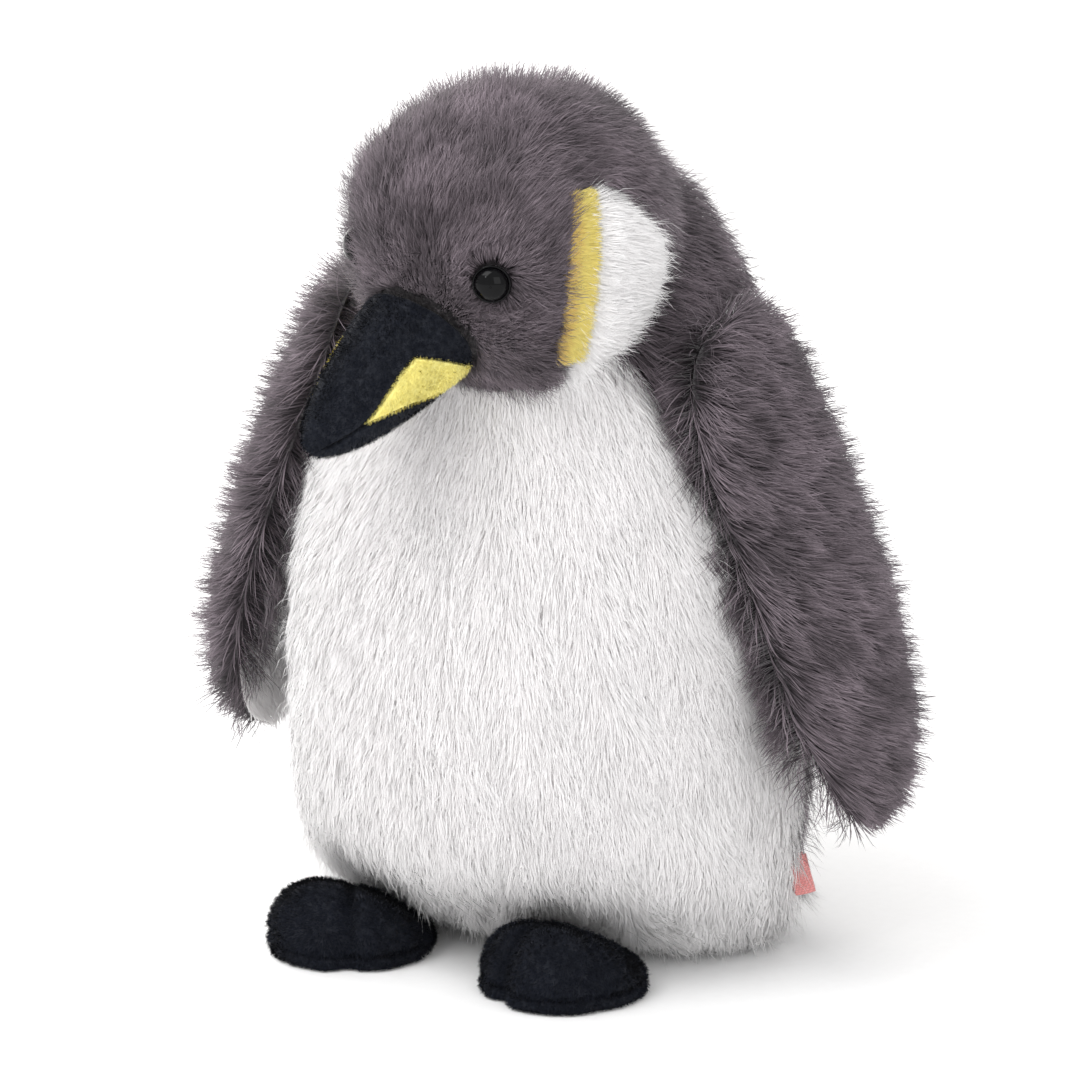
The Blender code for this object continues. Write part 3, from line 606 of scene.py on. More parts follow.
def fill_mesh(mesh, points, quads, tips):
    """Puts points, four-cornered and three-cornered faces into an empty mesh as whole arrays."""
    mesh.vertices.add(len(points))
    mesh.vertices.foreach_set("co", np.asarray(points, np.float32).ravel())
    corners = np.concatenate([quads.ravel(), tips.ravel()]).astype(np.int32)
    mesh.loops.add(len(corners))
    mesh.loops.foreach_set("vertex_index", corners)
    starts = np.concatenate([np.arange(len(quads)) * 4, len(quads) * 4 + np.arange(len(tips)) * 3])
    mesh.polygons.add(len(starts))
    mesh.polygons.foreach_set("loop_start", starts.astype(np.int32))
    mesh.update(calc_edges=True)
    mesh.polygons.foreach_set("use_smooth", np.ones(len(starts), bool))
    mesh.validate()


def strands(count):
    """A count of strands, less when a quicker build is asked for."""
    share = sizes().density * 1.0
    return max(200, int(count * share))


# ---------------------------------------------------------------- materials

BLACK = (0, 0, 0)
WHITE = (1, 1, 1)


def new_material(name):
    """An empty material with its output and principled shader."""
    material = bpy.data.materials.new(name)
    material.use_nodes = True
    nodes = material.node_tree.nodes
    nodes.clear()
    output = nodes.new("ShaderNodeOutputMaterial")
    shader = nodes.new("ShaderNodeBsdfPrincipled")
    material.node_tree.links.new(shader.outputs[0], output.inputs[0])
    return material, shader


def node(material, kind, settings=None, values=None, links=None):
    """Adds a node: settings on the node, values on its sockets, links as socket: (node, output)."""
    made = material.node_tree.nodes.new(kind)
    for key, value in (settings or {}).items():
        setattr(made, key, value)
    for key, value in (values or {}).items():
        made.inputs[key].default_value = value
    for key, (other, output) in (links or {}).items():
        material.node_tree.links.new(other.outputs[output], made.inputs[key])
    return made


def set_inputs(shader, values):
    """Constants on a shader's own sockets."""
    for key, value in values.items():
        shader.inputs[key].default_value = value


def link(material, source, output, target, socket):
    material.node_tree.links.new(source.outputs[output], target.inputs[socket])


def dent(material, shader, source, strength, distance, invert=False):
    """Bumps on the surface, from a pattern's height."""
    bump = node(material, "ShaderNodeBump", {"invert": invert}, {"Strength": strength, "Distance": distance},
                {"Height": (source, 0)})
    link(material, bump, 0, shader, "Normal")


def ramp(material, stops, source, output):
    """A colour ramp with the given (position, colour) stops."""
    made = node(material, "ShaderNodeValToRGB", links={"Fac": (source, output)})
    elements = made.color_ramp.elements
    while len(elements) < len(stops):
        elements.new(0.5)
    for element, (position, colour) in zip(elements, stops):
        element.position = position
        element.color = (*colour[:3], 1.0)
    return made


def mixed(a, b, share):
    return [x * (1 - share) + y * share for x, y in zip(a[:3], b[:3])]


def pile_material(name, root, tip, dark, patch=0.25, tinted=None, roughness=0.62, sheen=0.15, gloss=0.25):
    """Brushed acrylic pile: painted shade between the roots, growing to painted light at the tips, with each
    tuft of fibres a little lighter or darker than the next and broad patches where the pile was brushed the
    other way."""
    material, shader = new_material(name)
    where = node(material, "ShaderNodeUVMap", {"uv_map": "strand"})
    split = node(material, "ShaderNodeSeparateXYZ", links={0: (where, 0)})
    # ramp from painted shade at the roots to painted light at the tips
    base = ramp(material, [(0.0, root), (0.45, mixed(root, tip, 0.45)), (1.0, tip)], split, 1)
    tone = node(material, "ShaderNodeMapRange", values={3: dark, 4: 2.0 - dark}, links={0: (split, 0)})
    tuft = node(material, "ShaderNodeMix", {"data_type": "RGBA", "blend_type": "MULTIPLY"}, {0: 1.0},
                {6: (base, 0), 7: (tone, 0)})
    place = node(material, "ShaderNodeTexCoord")
    # brushed patches about 20 mm across
    cloud = node(material, "ShaderNodeTexNoise", values={"Scale": 50.0, "Detail": 2.0},
                 links={"Vector": (place, "Object")})
    patches = node(material, "ShaderNodeMapRange", values={1: 0.35, 2: 0.65, 3: 1 - patch, 4: 1 + patch},
                   links={0: (cloud, 0)})
    brushed = node(material, "ShaderNodeMix", {"data_type": "RGBA", "blend_type": "MULTIPLY"}, {0: 1.0},
                   {6: (tuft, 2), 7: (patches, 0)})
    last, output = brushed, 2
    if tinted is not None:
        amount = node(material, "ShaderNodeAttribute", {"attribute_name": "tint"})
        last = node(material, "ShaderNodeMix", {"data_type": "RGBA"}, {7: (*tinted[:3], 1.0)},
                    {0: (amount, "Fac"), 6: (brushed, 2)})
    link(material, last, output, shader, "Base Color")
    set_inputs(shader, {"Roughness": roughness, "IOR": 1.48, "Specular IOR Level": gloss,
                        "Sheen Weight": sheen, "Sheen Roughness": 0.5})
    return material


def backing_material(name, colour, pitch_mm=1.1):
    """Knitted polyester backing under the pile: rows of loops that show only where the pile parts."""
    material, shader = new_material(name)
    place = node(material, "ShaderNodeTexCoord")
    # loops of the knit about 1.1 mm apart
    loops = node(material, "ShaderNodeTexVoronoi", {"feature": "F1"}, {"Scale": 1000 / pitch_mm},
                 {"Vector": (place, "Object")})
    # Each loop is lighter at its raised middle and darker at its edges: a painted highlight on the loops and
    # painted shade between them.
    shade = ramp(material, [(0.0, mixed(colour, WHITE, 0.08)), (1.0, mixed(colour, BLACK, 0.12))], loops, 0)
    link(material, shade, 0, shader, "Base Color")
    dent(material, shader, loops, 0.6, 0.0003, invert=True)
    set_inputs(shader, {"Roughness": 0.9, "IOR": 1.5})
    return material


def minky_material(name, colour, shadow=0.35, light=0.18):
    """Minky: short dense polyester nap, matt, with a soft sheen at glancing angles and faint dimples."""
    material, shader = new_material(name)
    place = node(material, "ShaderNodeTexCoord")
    # dimples of the nap about 2.5 mm across
    dimple = node(material, "ShaderNodeTexNoise", values={"Scale": 400.0, "Detail": 4.0, "Roughness": 0.65},
                  links={"Vector": (place, "Object")})
    # brushing marks about 9 mm across
    brush = node(material, "ShaderNodeTexNoise", values={"Scale": 110.0, "Detail": 2.0, "Distortion": 0.8},
                 links={"Vector": (place, "Object")})
    # The dimples' colour follows their bump: painted shade in the hollows, painted light on the tops.
    fine = ramp(material, [(0.30, mixed(colour, BLACK, shadow)), (0.70, mixed(colour, WHITE, light * 0.6))],
                dimple, 0)
    tone = node(material, "ShaderNodeMapRange", None, {1: 0.35, 2: 0.65, 3: 0.85, 4: 1.12}, {0: (brush, 0)})
    whole = node(material, "ShaderNodeMix", {"data_type": "RGBA", "blend_type": "MULTIPLY"}, {0: 1.0},
                 {6: (fine, 0), 7: (tone, 0)})
    link(material, whole, 2, shader, "Base Color")
    dent(material, shader, dimple, 0.8, 0.0006)
    set_inputs(shader, {"Roughness": 0.8, "IOR": 1.5, "Specular IOR Level": 0.12, "Sheen Weight": 0.04,
                        "Sheen Roughness": 0.45})
    return material


def eye_material():
    """Injection-moulded acrylic safety eye, polished: black with a clear hard gloss."""
    material, shader = new_material("polished_black_acrylic")
    place = node(material, "ShaderNodeTexCoord")
    # faint handling haze about 4 mm across
    haze = node(material, "ShaderNodeTexNoise", None, {"Scale": 260.0, "Detail": 3.0},
                {"Vector": (place, "Object")})
    gloss = node(material, "ShaderNodeMapRange", values={3: 0.02, 4: 0.06}, links={0: (haze, 0)})
    link(material, gloss, 0, shader, "Roughness")
    shade = ramp(material, [(0.3, linear("040405")), (0.8, linear("08080a"))], haze, 0)
    link(material, shade, 0, shader, "Base Color")
    set_inputs(shader, {"IOR": 1.49, "Specular IOR Level": 0.16})
    return material


def plain_plastic(name, colour, roughness, grain_mm):
    """Moulded plastic with a fine eggshell texture from its mould."""
    material, shader = new_material(name)
    place = node(material, "ShaderNodeTexCoord")
    grain = node(material, "ShaderNodeTexNoise", values={"Scale": 1000 / grain_mm, "Detail": 2.0},
                 links={"Vector": (place, "Object")})
    # Darker in the low points of the grain: painted shade in its hollows.
    shade = ramp(material, [(0.3, mixed(colour, BLACK, 0.08)), (0.7, colour)], grain, 0)
    link(material, shade, 0, shader, "Base Color")
    dent(material, shader, grain, 0.2, 0.0001)
    set_inputs(shader, {"Roughness": roughness, "IOR": 1.49})
    return material


def woven_material(name, colour, pitch_mm, coordinate="Object", sheen=0.1, roughness=0.75):
    """Plain weave: two sets of threads crossing, each thread rounded."""
    material, shader = new_material(name)
    place = node(material, "ShaderNodeTexCoord")
    scale = 1000 / pitch_mm / 6.2832
    warp = node(material, "ShaderNodeTexWave", {"wave_type": "BANDS", "bands_direction": "X"},
                {"Scale": scale, "Distortion": 0.4, "Detail": 1.0}, {"Vector": (place, coordinate)})
    weft = node(material, "ShaderNodeTexWave", {"wave_type": "BANDS", "bands_direction": "Z"},
                {"Scale": scale, "Distortion": 0.4, "Detail": 1.0}, {"Vector": (place, coordinate)})
    cloth = node(material, "ShaderNodeMath", {"operation": "MULTIPLY"}, links={0: (warp, 1), 1: (weft, 1)})
    # Darker where the threads dip between each other: painted shade in the gaps of the weave.
    shade = ramp(material, [(0.0, mixed(colour, BLACK, 0.25)), (0.6, colour)], cloth, 0)
    link(material, shade, 0, shader, "Base Color")
    dent(material, shader, cloth, 0.5, 0.0002)
    set_inputs(shader, {"Roughness": roughness, "Sheen Weight": sheen})
    return material


MADE = {}


def material(key):
    """Each material, made once when it is first asked for."""
    if key not in MADE:
        c = colours()
        makers = {
            # In every pile the root colour is darker than the tip: painted shade between the roots.
            "grey_pile": lambda: pile_material("acrylic_long_pile_grey", c.grey_root_shaded, c.grey_tip, 0.52, 0.34,
                                               gloss=0.2),
            "white_pile": lambda: pile_material("acrylic_long_pile_white", c.white_root_shaded, c.white_tip, 0.97,
                                                0.02, roughness=0.7, sheen=0.3),
            "yellow_pile": lambda: pile_material("acrylic_pile_yellow", mixed(c.amber, c.yellow, 0.5),
                                                 c.yellow, 0.9, 0.04, tinted=c.amber),
            # The grey backing is the grey root colour, painted shade and all, mixed a fifth of the way to
            # black.
            "grey_backing": lambda: backing_material("knitted_backing_grey", mixed(c.grey_root_shaded, BLACK, 0.2)),
            "white_backing": lambda: backing_material("knitted_backing_white", c.white_root_shaded),
            "black_minky": lambda: minky_material("minky_near_black", c.black, 0.30, 0.03),
            "lemon_minky": lambda: minky_material("minky_lemon", c.lemon, 0.10, 0.10),
            # Black nap: roots mixed towards black as painted shade, tips with a trace of white as painted
            # light.
            "black_nap": lambda: pile_material("minky_nap_near_black", mixed(c.black, BLACK, 0.3),
                                               mixed(c.black, WHITE, 0.012), 0.7, 0.12, roughness=0.8,
                                               sheen=0.02, gloss=0.08),
            "lemon_nap": lambda: pile_material("minky_nap_lemon", mixed(c.lemon, c.amber, 0.15), c.lemon,
                                               0.92, 0.05, roughness=0.75),
            "eye": eye_material,
            "washer": lambda: plain_plastic("moulded_nylon_white", linear("e6e4de"), 0.45, 0.4),
            "pellet": lambda: plain_plastic("polyethylene_pellets", linear("eeeeea"), 0.4, 2.5),
            "cotton": lambda: woven_material("cotton_calico", linear("e9e2d2"), 0.8),
            "ribbon": lambda: woven_material("satin_ribbon_coral", c.label, 0.35, sheen=0.3, roughness=0.45),
        }
        MADE[key] = makers[key]()
    return MADE[key]


def declare(piece, body, replaced=()):
    """Says which body carries a piece and hides the nodes it replaces."""
    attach(piece, body)
    if replaced:
        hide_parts(*replaced)
    return piece


def dress(piece, key, body, replaced=()):
    piece.data.materials.clear()
    piece.data.materials.append(material(key))
    return declare(piece, body, replaced)


# ---------------------------------------------------------------- body

ROOT_DEPTH = 8.5       # how far under the tips of the grey pile its roots are
WHITE_DEPTH = 3.6      # the same for the denser white pile, which lies flat
WING_ROOT_DEPTH = 6.5  # the same for the wings
STRIPE_RISE = 2.0      # how much shallower the roots of the cheek stripes are
WING_OVER = 48.0       # degrees by which the grey pile reaches over the front seam, none at the tip
UNDER_ROOTS = 0.6      # how far a cover lies under the roots of its pile
COVER_LOW = 1.6        # how far the body's cover stays above the floor
STRIPE_LOW = -33.0     # latitude where the cheek stripe ends

# the two sides of a wing: where they start round it, their strands, colour and way out, and their brushing
WING_SIDES = {
    "outer": {"from": 0, "count": 31000, "colour": "grey", "out": 1.0, "forward": 2.6, "down": 0.75,
              "rear": 1.0, "edge": 0.35, "looks": {"lift": 0.60, "tuft": 2.6, "light": 0.72}},
    "lining": {"from": 180, "count": 11000, "colour": "white", "out": -1.0, "forward": 0.0, "down": 1.0,
               "rear": 0.3, "edge": -0.5,
               "looks": {"lift": 0.4, "tuft": 1.0, "width": 0.36, "light": 0.95, "wild": 0.04, "steps": 2}},
}


def stuffed_cover(name, place, columns, rows, is_white, swell, body, replaced):
    """A stuffed cover whose faces have the grey or, where is_white(u, v), the white backing, put on its body.
    """
    piece = closed_form(name, place, columns, rows)
    piece.data.materials.append(material("grey_backing"))
    piece.data.materials.append(material("white_backing"))
    piece.data.polygons.foreach_set("material_index", is_white(*face_places(piece)).astype(np.int32))
    stuff(piece, *swell)
    return declare(piece, body, [replaced])


def face_places(piece):
    """The surface coordinates of each face's first corner."""
    mesh = piece.data
    starts = np.zeros(len(mesh.polygons), int)
    mesh.polygons.foreach_get("loop_start", starts)
    uvs = np.zeros(len(mesh.loops) * 2, np.float32)
    mesh.uv_layers[0].data.foreach_get("uv", uvs)
    return uvs.reshape(-1, 2)[starts].T


def build_body():
    rng = np.random.default_rng(MAIN_SEED)

    def cover(u, v):
        station, angle = v * BODY_TOP, 360 * u - 180
        white = 1 - ease(-6.0, 1.0, np.abs(angle) - belly_edge(station))
        depth = ROOT_DEPTH + UNDER_ROOTS + (WHITE_DEPTH - ROOT_DEPTH) * white * ease(0.0, 0.4, station)
        points = body_point(station, angle, depth)
        points[..., 2] = np.maximum(points[..., 2], COVER_LOW)
        return points

    def on_belly(u, v):
        return np.abs(360 * u - 180) < belly_edge(v * BODY_TOP)

    stuffed_cover("body_cover", cover, 64, 40, on_belly, (1.0, 1.2), "body", "body_filling")
    length = sizes().body_pile / MM
    middle = np.array((MIDDLE_X, BASE_Y - 30.0, 120.0))
    for side, word in SIDES:
        def belly(u, v, side=side):
            station = v * BODY_TOP
            edge = belly_edge(station) + 1.5
            depth = WHITE_DEPTH + (ROOT_DEPTH - WHITE_DEPTH) * ease(-7.0, 0.0, u * edge - edge)
            return body_point(station, side * u * edge, depth + 0.3)

        def back(u, v, side=side):
            station = v * BODY_TOP
            low = belly_edge(station)
            return body_point(station, side * (low + u * (180 - low)), ROOT_DEPTH)

        roots, normals, us, vs = roots_round(belly, 52000, rng, middle)
        hem = 1 - ease(0.14, 0.36, vs)
        down = np.array((0.0, 0.0, -1.0)) + 0.5 * side * us[:, None] * np.array((1.0, 0.0, 0.0))
        pile = pile_piece("belly_pile_" + word, roots, normals, down,
                          length * (0.66 + 0.55 * hem + 0.2 * ease(0.85, 1.0, us)), rng, steps=2,
                          lift=0.25 + 0.45 * hem, tuft=0.45, tuft_size=5.0, width=0.25, light=0.99,
                          stray=0.16, swirl=0.25, wild=0.04)
        dress(pile, "white_pile", "body", ["belly_panel", "base_panel"])

        roots, normals, us, vs = roots_round(back, 30000, rng, middle)
        forward = (1 - ease(0.0, 0.12, us))[:, None] * (0.0, -1.4, 0.0)
        round_the_base = ease(0.5, 0.8, vs)[:, None] * (side * 0.8, 0.9, 0.0)
        pile = pile_piece("back_pile_" + word, roots, normals, (0.0, 0.15, -1.0) + forward + round_the_base,
                          length, rng, steps=2, tuft=2.0, width=0.34)
        dress(pile, "grey_pile", "body", ["back_panel_" + word])


class PLUSH_OT_body(bpy.types.Operator):
    """Builds the body's stuffed cover, white belly pile and grey back pile"""

    bl_idname = "plush.body"
    bl_label = "Body"

    def execute(self, context):
        build_body()
        return {"FINISHED"}


# ---------------------------------------------------------------- head

BEAK_ROOT_DIRECTION = unit(beak_axes()[0])


def head_flow(points):
    """The brushed direction on the head: away from the beak's root over the face, and down at the back."""
    outward_way = unit(points - HEAD_CENTRE)
    away = outward_way - BEAK_ROOT_DIRECTION
    behind = ease(-0.2, 0.7, -(outward_way @ BEAK_ROOT_DIRECTION))[:, None]
    return unit(away) * (1 - 0.6 * behind) + np.array((0.0, 0.25, -1.0)) * 1.1 * behind


def eye_direction(side):
    return head_direction(side * EYE_LONGITUDE, EYE_LATITUDE)


def open_eye(roots, flow, length):
    """Pile round an eye leans away from it and is shorter, so that the dome shows. In front of the right eye
    it stays as it is and half hides the dome."""
    for side in (1, -1):
        middle = HEAD_CENTRE + eye_direction(side) * (HEAD_RADIUS - ROOT_DEPTH)
        way = roots - middle
        far = np.linalg.norm(way, axis=1)
        opened = 1.0 if side > 0 else ease(-5.0, 2.0, -(way @ BEAK_ROOT_DIRECTION))
        near = opened * (1 - ease(5.0, 12.0, far))
        flow = flow * (1 - near)[:, None] + unit(way) * near[:, None] * 1.6
        length = length * (1 - 0.42 * opened * (1 - ease(4.5, 12.0, far)))
    return flow, length


def clear_of(roots, longitude, radius):
    """Which roots are further than a radius from the eye at a longitude."""
    middle = HEAD_CENTRE + head_direction(longitude, EYE_LATITUDE) * (HEAD_RADIUS - ROOT_DEPTH)
    return np.linalg.norm(roots - middle, axis=1) > radius


def under_beak(roots):
    """Which roots are outside the beak's own outline on the face."""
    ahead, up, left = beak_axes()
    way = roots - HEAD_CENTRE
    inside = ((way @ left) / (BEAK_HALF_WIDTH - 1.5)) ** 2 + ((way @ up) / (BEAK_HALF_HEIGHT - 1.5)) ** 2 < 1
    return ~(inside & (way @ ahead > 0))


def white_depth(longitude, latitude):
    """The white pile's roots are shallow in the middle of the cheek and deep at its seams."""
    turn = np.abs(longitude)
    inside = (ease(STRIPE_EDGE, STRIPE_EDGE + 7, turn) * (1 - ease(CHEEK_EDGE - 8, CHEEK_EDGE, turn))
              * (1 - ease(-8.0, -2.0, latitude - crown_latitude(longitude))))
    return ROOT_DEPTH + 0.3 + (WHITE_DEPTH - ROOT_DEPTH) * inside


def stripe_depth(longitude, latitude):
    return np.full_like(longitude, ROOT_DEPTH - STRIPE_RISE)


def slanted(longitude, latitude):
    """The cheek stripe's seams lie 2 degrees further forward low down and 3.5 further back at the crown, and
    the panels beside it follow."""
    turn = np.abs(longitude)
    share = ease(15.0, 60.0, turn) * (1 - ease(80.0, 120.0, turn))
    return longitude + np.sign(longitude) * (5.5 * ease(-5.0, 34.0, latitude) - 2.0) * share


def head_pile(part, panel, side, span, bottom, top, count, colour, depth=None, flow=None, share=None,
              tint=None, **looks):
    """One head panel's pile, over a span of longitudes and between two latitudes that follow the longitude.
    depth, flow, share and tint are functions for its roots, its brushing, its length and its shade."""
    start, end = span
    word = {1: "_left", 0: "", -1: "_right"}[side]
    rng = np.random.default_rng(MAIN_SEED + int(abs(start) * 7 + abs(end) * 3) + (500 if side < 0 else 0))

    def place(u, v):
        longitude = start + u * (end - start)
        low, high = bottom(longitude), top(longitude)
        latitude = low + v * (high - low)
        deep = ROOT_DEPTH if depth is None else depth(longitude, latitude)
        return head_point(slanted(longitude, latitude), latitude, deep)

    roots, normals, us, vs = roots_round(place, count, rng, HEAD_CENTRE)
    way, lengths = open_eye(roots, head_flow(roots), np.full(len(roots), sizes().head_pile / MM))
    if flow is not None:
        way = flow(roots, way)
    if share is not None:
        lengths = lengths * share(roots, us)
    keep = under_beak(roots) & clear_of(roots, EYE_LONGITUDE, 5.0) & clear_of(roots, -EYE_LONGITUDE, 4.5)
    if tint is not None:
        looks["tint"] = tint(us, rng)[keep]
    pile = pile_piece(part + "_pile" + word, roots[keep], normals[keep], way[keep], lengths[keep], rng,
                      **looks)
    return dress(pile, colour + "_pile", "head", [panel + word])


def short_by_beak(roots, us):
    """Face pile is shorter close to the beak."""
    _, up, left = beak_axes()
    way = roots - HEAD_CENTRE
    off = np.sqrt(((way @ left) / BEAK_HALF_WIDTH) ** 2 + ((way @ up) / BEAK_HALF_HEIGHT) ** 2)
    return 0.55 + 0.45 * ease(1.0, 1.9, off)


def long_behind(roots, us):
    """Cheek pile is longer towards its rear seam."""
    return 0.72 + 0.65 * ease(0.78, 1.0, us)


def stripe_tint(us, rng):
    """How much amber each strand of the stripe has: most at its front seam, little past a third."""
    return np.clip(0.75 - 2.2 * us + 0.25 * rng.normal(size=len(us)), 0, 0.8)


def backwards(share, drop=0.25):
    """A flow that mixes in the way round the head to its back."""
    def turn(roots, flow):
        way = unit(roots - HEAD_CENTRE)
        ahead = head_direction(0.0, 0.0)
        back = -ahead + way * (way @ ahead)[:, None] + (0.0, 0.0, -drop)
        return unit(flow) * (1 - share) + unit(back) * share
    return turn


def build_head():
    def cover(u, v):
        longitude, latitude = 360 * u - 180, -88 + 178 * v
        depth = white_depth(longitude, latitude) + UNDER_ROOTS - 0.3
        return head_point(slanted(longitude, latitude), latitude, depth)

    def on_cheek(u, v):
        longitude = 360 * np.abs(u - 0.5)
        return (longitude > STRIPE_EDGE) & (longitude < CHEEK_EDGE) & (-88 + v * 178 < 34)

    def neck(longitude):
        return neck_latitude(longitude, 8.0)

    stuffed_cover("head_cover", cover, 72, 40, on_cheek, (1.0, 1.0), "head", "head_filling")
    for side, _ in SIDES:
        head_pile("face", "face_panel", side, (0.0, side * (FACE_EDGE - 0.5)), neck, crown_latitude, 28000,
                  "grey", share=short_by_beak, lift=0.60, tuft=1.5, tuft_size=5.0, width=0.30)
        head_pile("cheek_stripe", "cheek_stripe", side, (side * FACE_EDGE, side * (STRIPE_EDGE + 1.0)),
                  lambda longitude: np.maximum(neck(longitude), STRIPE_LOW),
                  lambda longitude: crown_latitude(longitude) - 2, 8000, "yellow", depth=stripe_depth,
                  flow=backwards(0.75), share=lambda roots, us: 0.66, tint=stripe_tint, lift=0.90, tuft=0.6,
                  tuft_size=4.0, width=0.32, steps=2, stray=0.10, swirl=0.1, light=0.92, wild=0.03)
        head_pile("cheek_patch", "cheek_patch", side, (side * STRIPE_EDGE, side * CHEEK_EDGE), neck,
                  lambda longitude: crown_latitude(longitude) - 1, 22000, "white", depth=white_depth,
                  flow=backwards(0.7, 0.4), share=long_behind, lift=0.36, tuft=1.0, tuft_size=5.0, width=0.30,
                  steps=2, light=0.96, wild=0.07)
        head_pile("nape", "nape_panel", side, (side * CHEEK_EDGE, side * 180.0), neck, crown_latitude, 13000,
                  "grey", steps=2, tuft=1.8, width=0.34)
    head_pile("crown", "crown_panel", 0, (-180.0, 180.0), crown_latitude, lambda longitude: 90.0, 32000,
              "grey", lift=0.55, tuft=1.6, tuft_size=5.5, width=0.32)


class PLUSH_OT_head(bpy.types.Operator):
    """Builds the head's stuffed cover and the pile of each of its panels"""

    bl_idname = "plush.head"
    bl_label = "Head"

    def execute(self, context):
        build_head()
        return {"FINISHED"}


# ---------------------------------------------------------------- eyes

def build_eyes():
    """A turned profile: a domed front, a rounded rim standing round it, and a stem behind."""
    dome, rim = np.linspace(0, pi / 2, 20), np.linspace(pi * 0.95, -pi / 2, 14)
    profile = np.concatenate([
        np.stack([EYE_RADIUS * 0.90 * np.sin(dome), 0.5 + 3.4 * np.cos(dome)], -1),
        np.stack([EYE_RADIUS * (0.95 + 0.07 * np.cos(rim)), 0.35 + 0.42 * np.sin(rim)], -1),
        [(1.7, -0.4), (1.6, -0.8), (1.6, -11.2), (0.9, -12.0)]])
    for side, word in SIDES:
        axis = eye_direction(side)
        up = unit(np.array((0.0, 0.0, 1.0)) - axis * axis[2])
        across = np.cross(up, axis)
        seat = HEAD_CENTRE + axis * (HEAD_RADIUS - 4.3)

        def place(u, v):
            station = v * (len(profile) - 1)
            row = np.floor(station).astype(int).clip(0, len(profile) - 2)
            part = (station - row)[..., None]
            ring = profile[row] * (1 - part) + profile[row + 1] * part
            turn = 2 * pi * u
            return (seat + axis * ring[..., 1:2] + across * (ring[..., 0] * np.cos(turn))[..., None]
                    + up * (ring[..., 0] * np.sin(turn))[..., None])

        eye = closed_form("safety_eye_" + word, place, 48, len(profile))
        dress(eye, "eye", "head")
        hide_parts("eye_" + word)


class PLUSH_OT_eyes(bpy.types.Operator):
    """Builds the two domed safety eyes"""

    bl_idname = "plush.eyes"
    bl_label = "Eyes"

    def execute(self, context):
        build_eyes()
        return {"FINISHED"}


# ---------------------------------------------------------------- beak

def rolled(distance, deep=1.1, wide=1.6):
    """How far a panel turns in at its seam: deep at the edge, nothing beyond wide, all in millimetres."""
    return deep * (1 - ease(0.0, wide, distance)) ** 1.5


def beak_panel(part, word, place, edge, grid, tone, count, seed):
    """A beak panel with its edges turned in to the seam, and its nap."""
    rng = np.random.default_rng(MAIN_SEED + seed)
    u, v = grid_uv(*grid)
    dimple = 0.18 * wave_field(place(u, v, 0.5).reshape(-1, 3), 9.0, rng)[:, 0].reshape(u.shape)
    cover = panel_form(f"{part}_cover{word}", place(u, v, 0.3 + rolled(edge(u, v)) + dimple),
                       place(u, v, np.full_like(u, 2.6)))
    dress(cover, tone + "_minky", "head", [part + word])

    def under_nap(u, v):
        return place(u, v, 0.5 + rolled(edge(u, v)))

    ahead = beak_axes()[0]
    roots, normals, _, _ = roots_round(under_nap, count, rng, HEAD_CENTRE + ahead * 62)
    nap = pile_piece(f"{part}_cover{word}_nap", roots, normals, ahead, sizes().fuzz / MM * 0.75, rng,
                     width=0.24, lift=0.6, tuft=0.35, tuft_size=2.4, steps=2, stray=0.45, swirl=0.8,
                     light=0.6)
    dress(nap, tone + "_nap", "head")


def build_beak():
    def girth(share):
        blunt = np.sqrt(np.maximum(1 - share**BEAK_BLUNT, 0.0004))
        return BEAK_HALF_WIDTH * (1 - BEAK_TAPER[0] * share) * blunt

    for part, middle, column, grid, count, seed in (("beak_top", 0, 1, (90, 71), 11000, 11),
                                                    ("beak_underside", 180, 2, (70, 71), 6500, 12)):
        def half(share, middle=middle, column=column):
            return np.abs(middle - patch_edge(share, column))

        def panel(u, v, depth, middle=middle, half=half):
            return beak_point(v, middle + (2 * u - 1) * half(v), depth)

        def from_seam(u, v, half=half):
            return np.radians((1 - np.abs(2 * u - 1)) * half(v)) * girth(v) + 1.5 * ease(0.95, 1.0, v)

        beak_panel(part, "", panel, from_seam, grid, "black", count, seed)

    for side, word in SIDES:
        def patch(u, v, depth, side=side):
            share = v * PATCH_LENGTH
            low, high = patch_edge(share, 1), patch_edge(share, 2)
            return beak_point(share, side * (low + u * (high - low)), depth)

        def patch_rim(u, v):
            share = v * PATCH_LENGTH
            width = np.radians(patch_edge(share, 2) - patch_edge(share, 1)) * girth(share)
            return np.minimum(u, 1 - u) * width

        beak_panel("beak_patch", "_" + word, patch, patch_rim, (40, 51), "lemon", 3500,
                   14 + side)

    filling = closed_form("beak_stuffing", lambda u, v: beak_point(0.06 + 0.93 * v, 360 * u, 3.2), 32, 16)
    dress(filling, "cotton", "head", ["beak_filling"])


class PLUSH_OT_beak(bpy.types.Operator):
    """Builds the beak's four sewn panels with their nap"""

    bl_idname = "plush.beak"
    bl_label = "Beak"

    def execute(self, context):
        build_beak()
        return {"FINISHED"}


# ---------------------------------------------------------------- wings

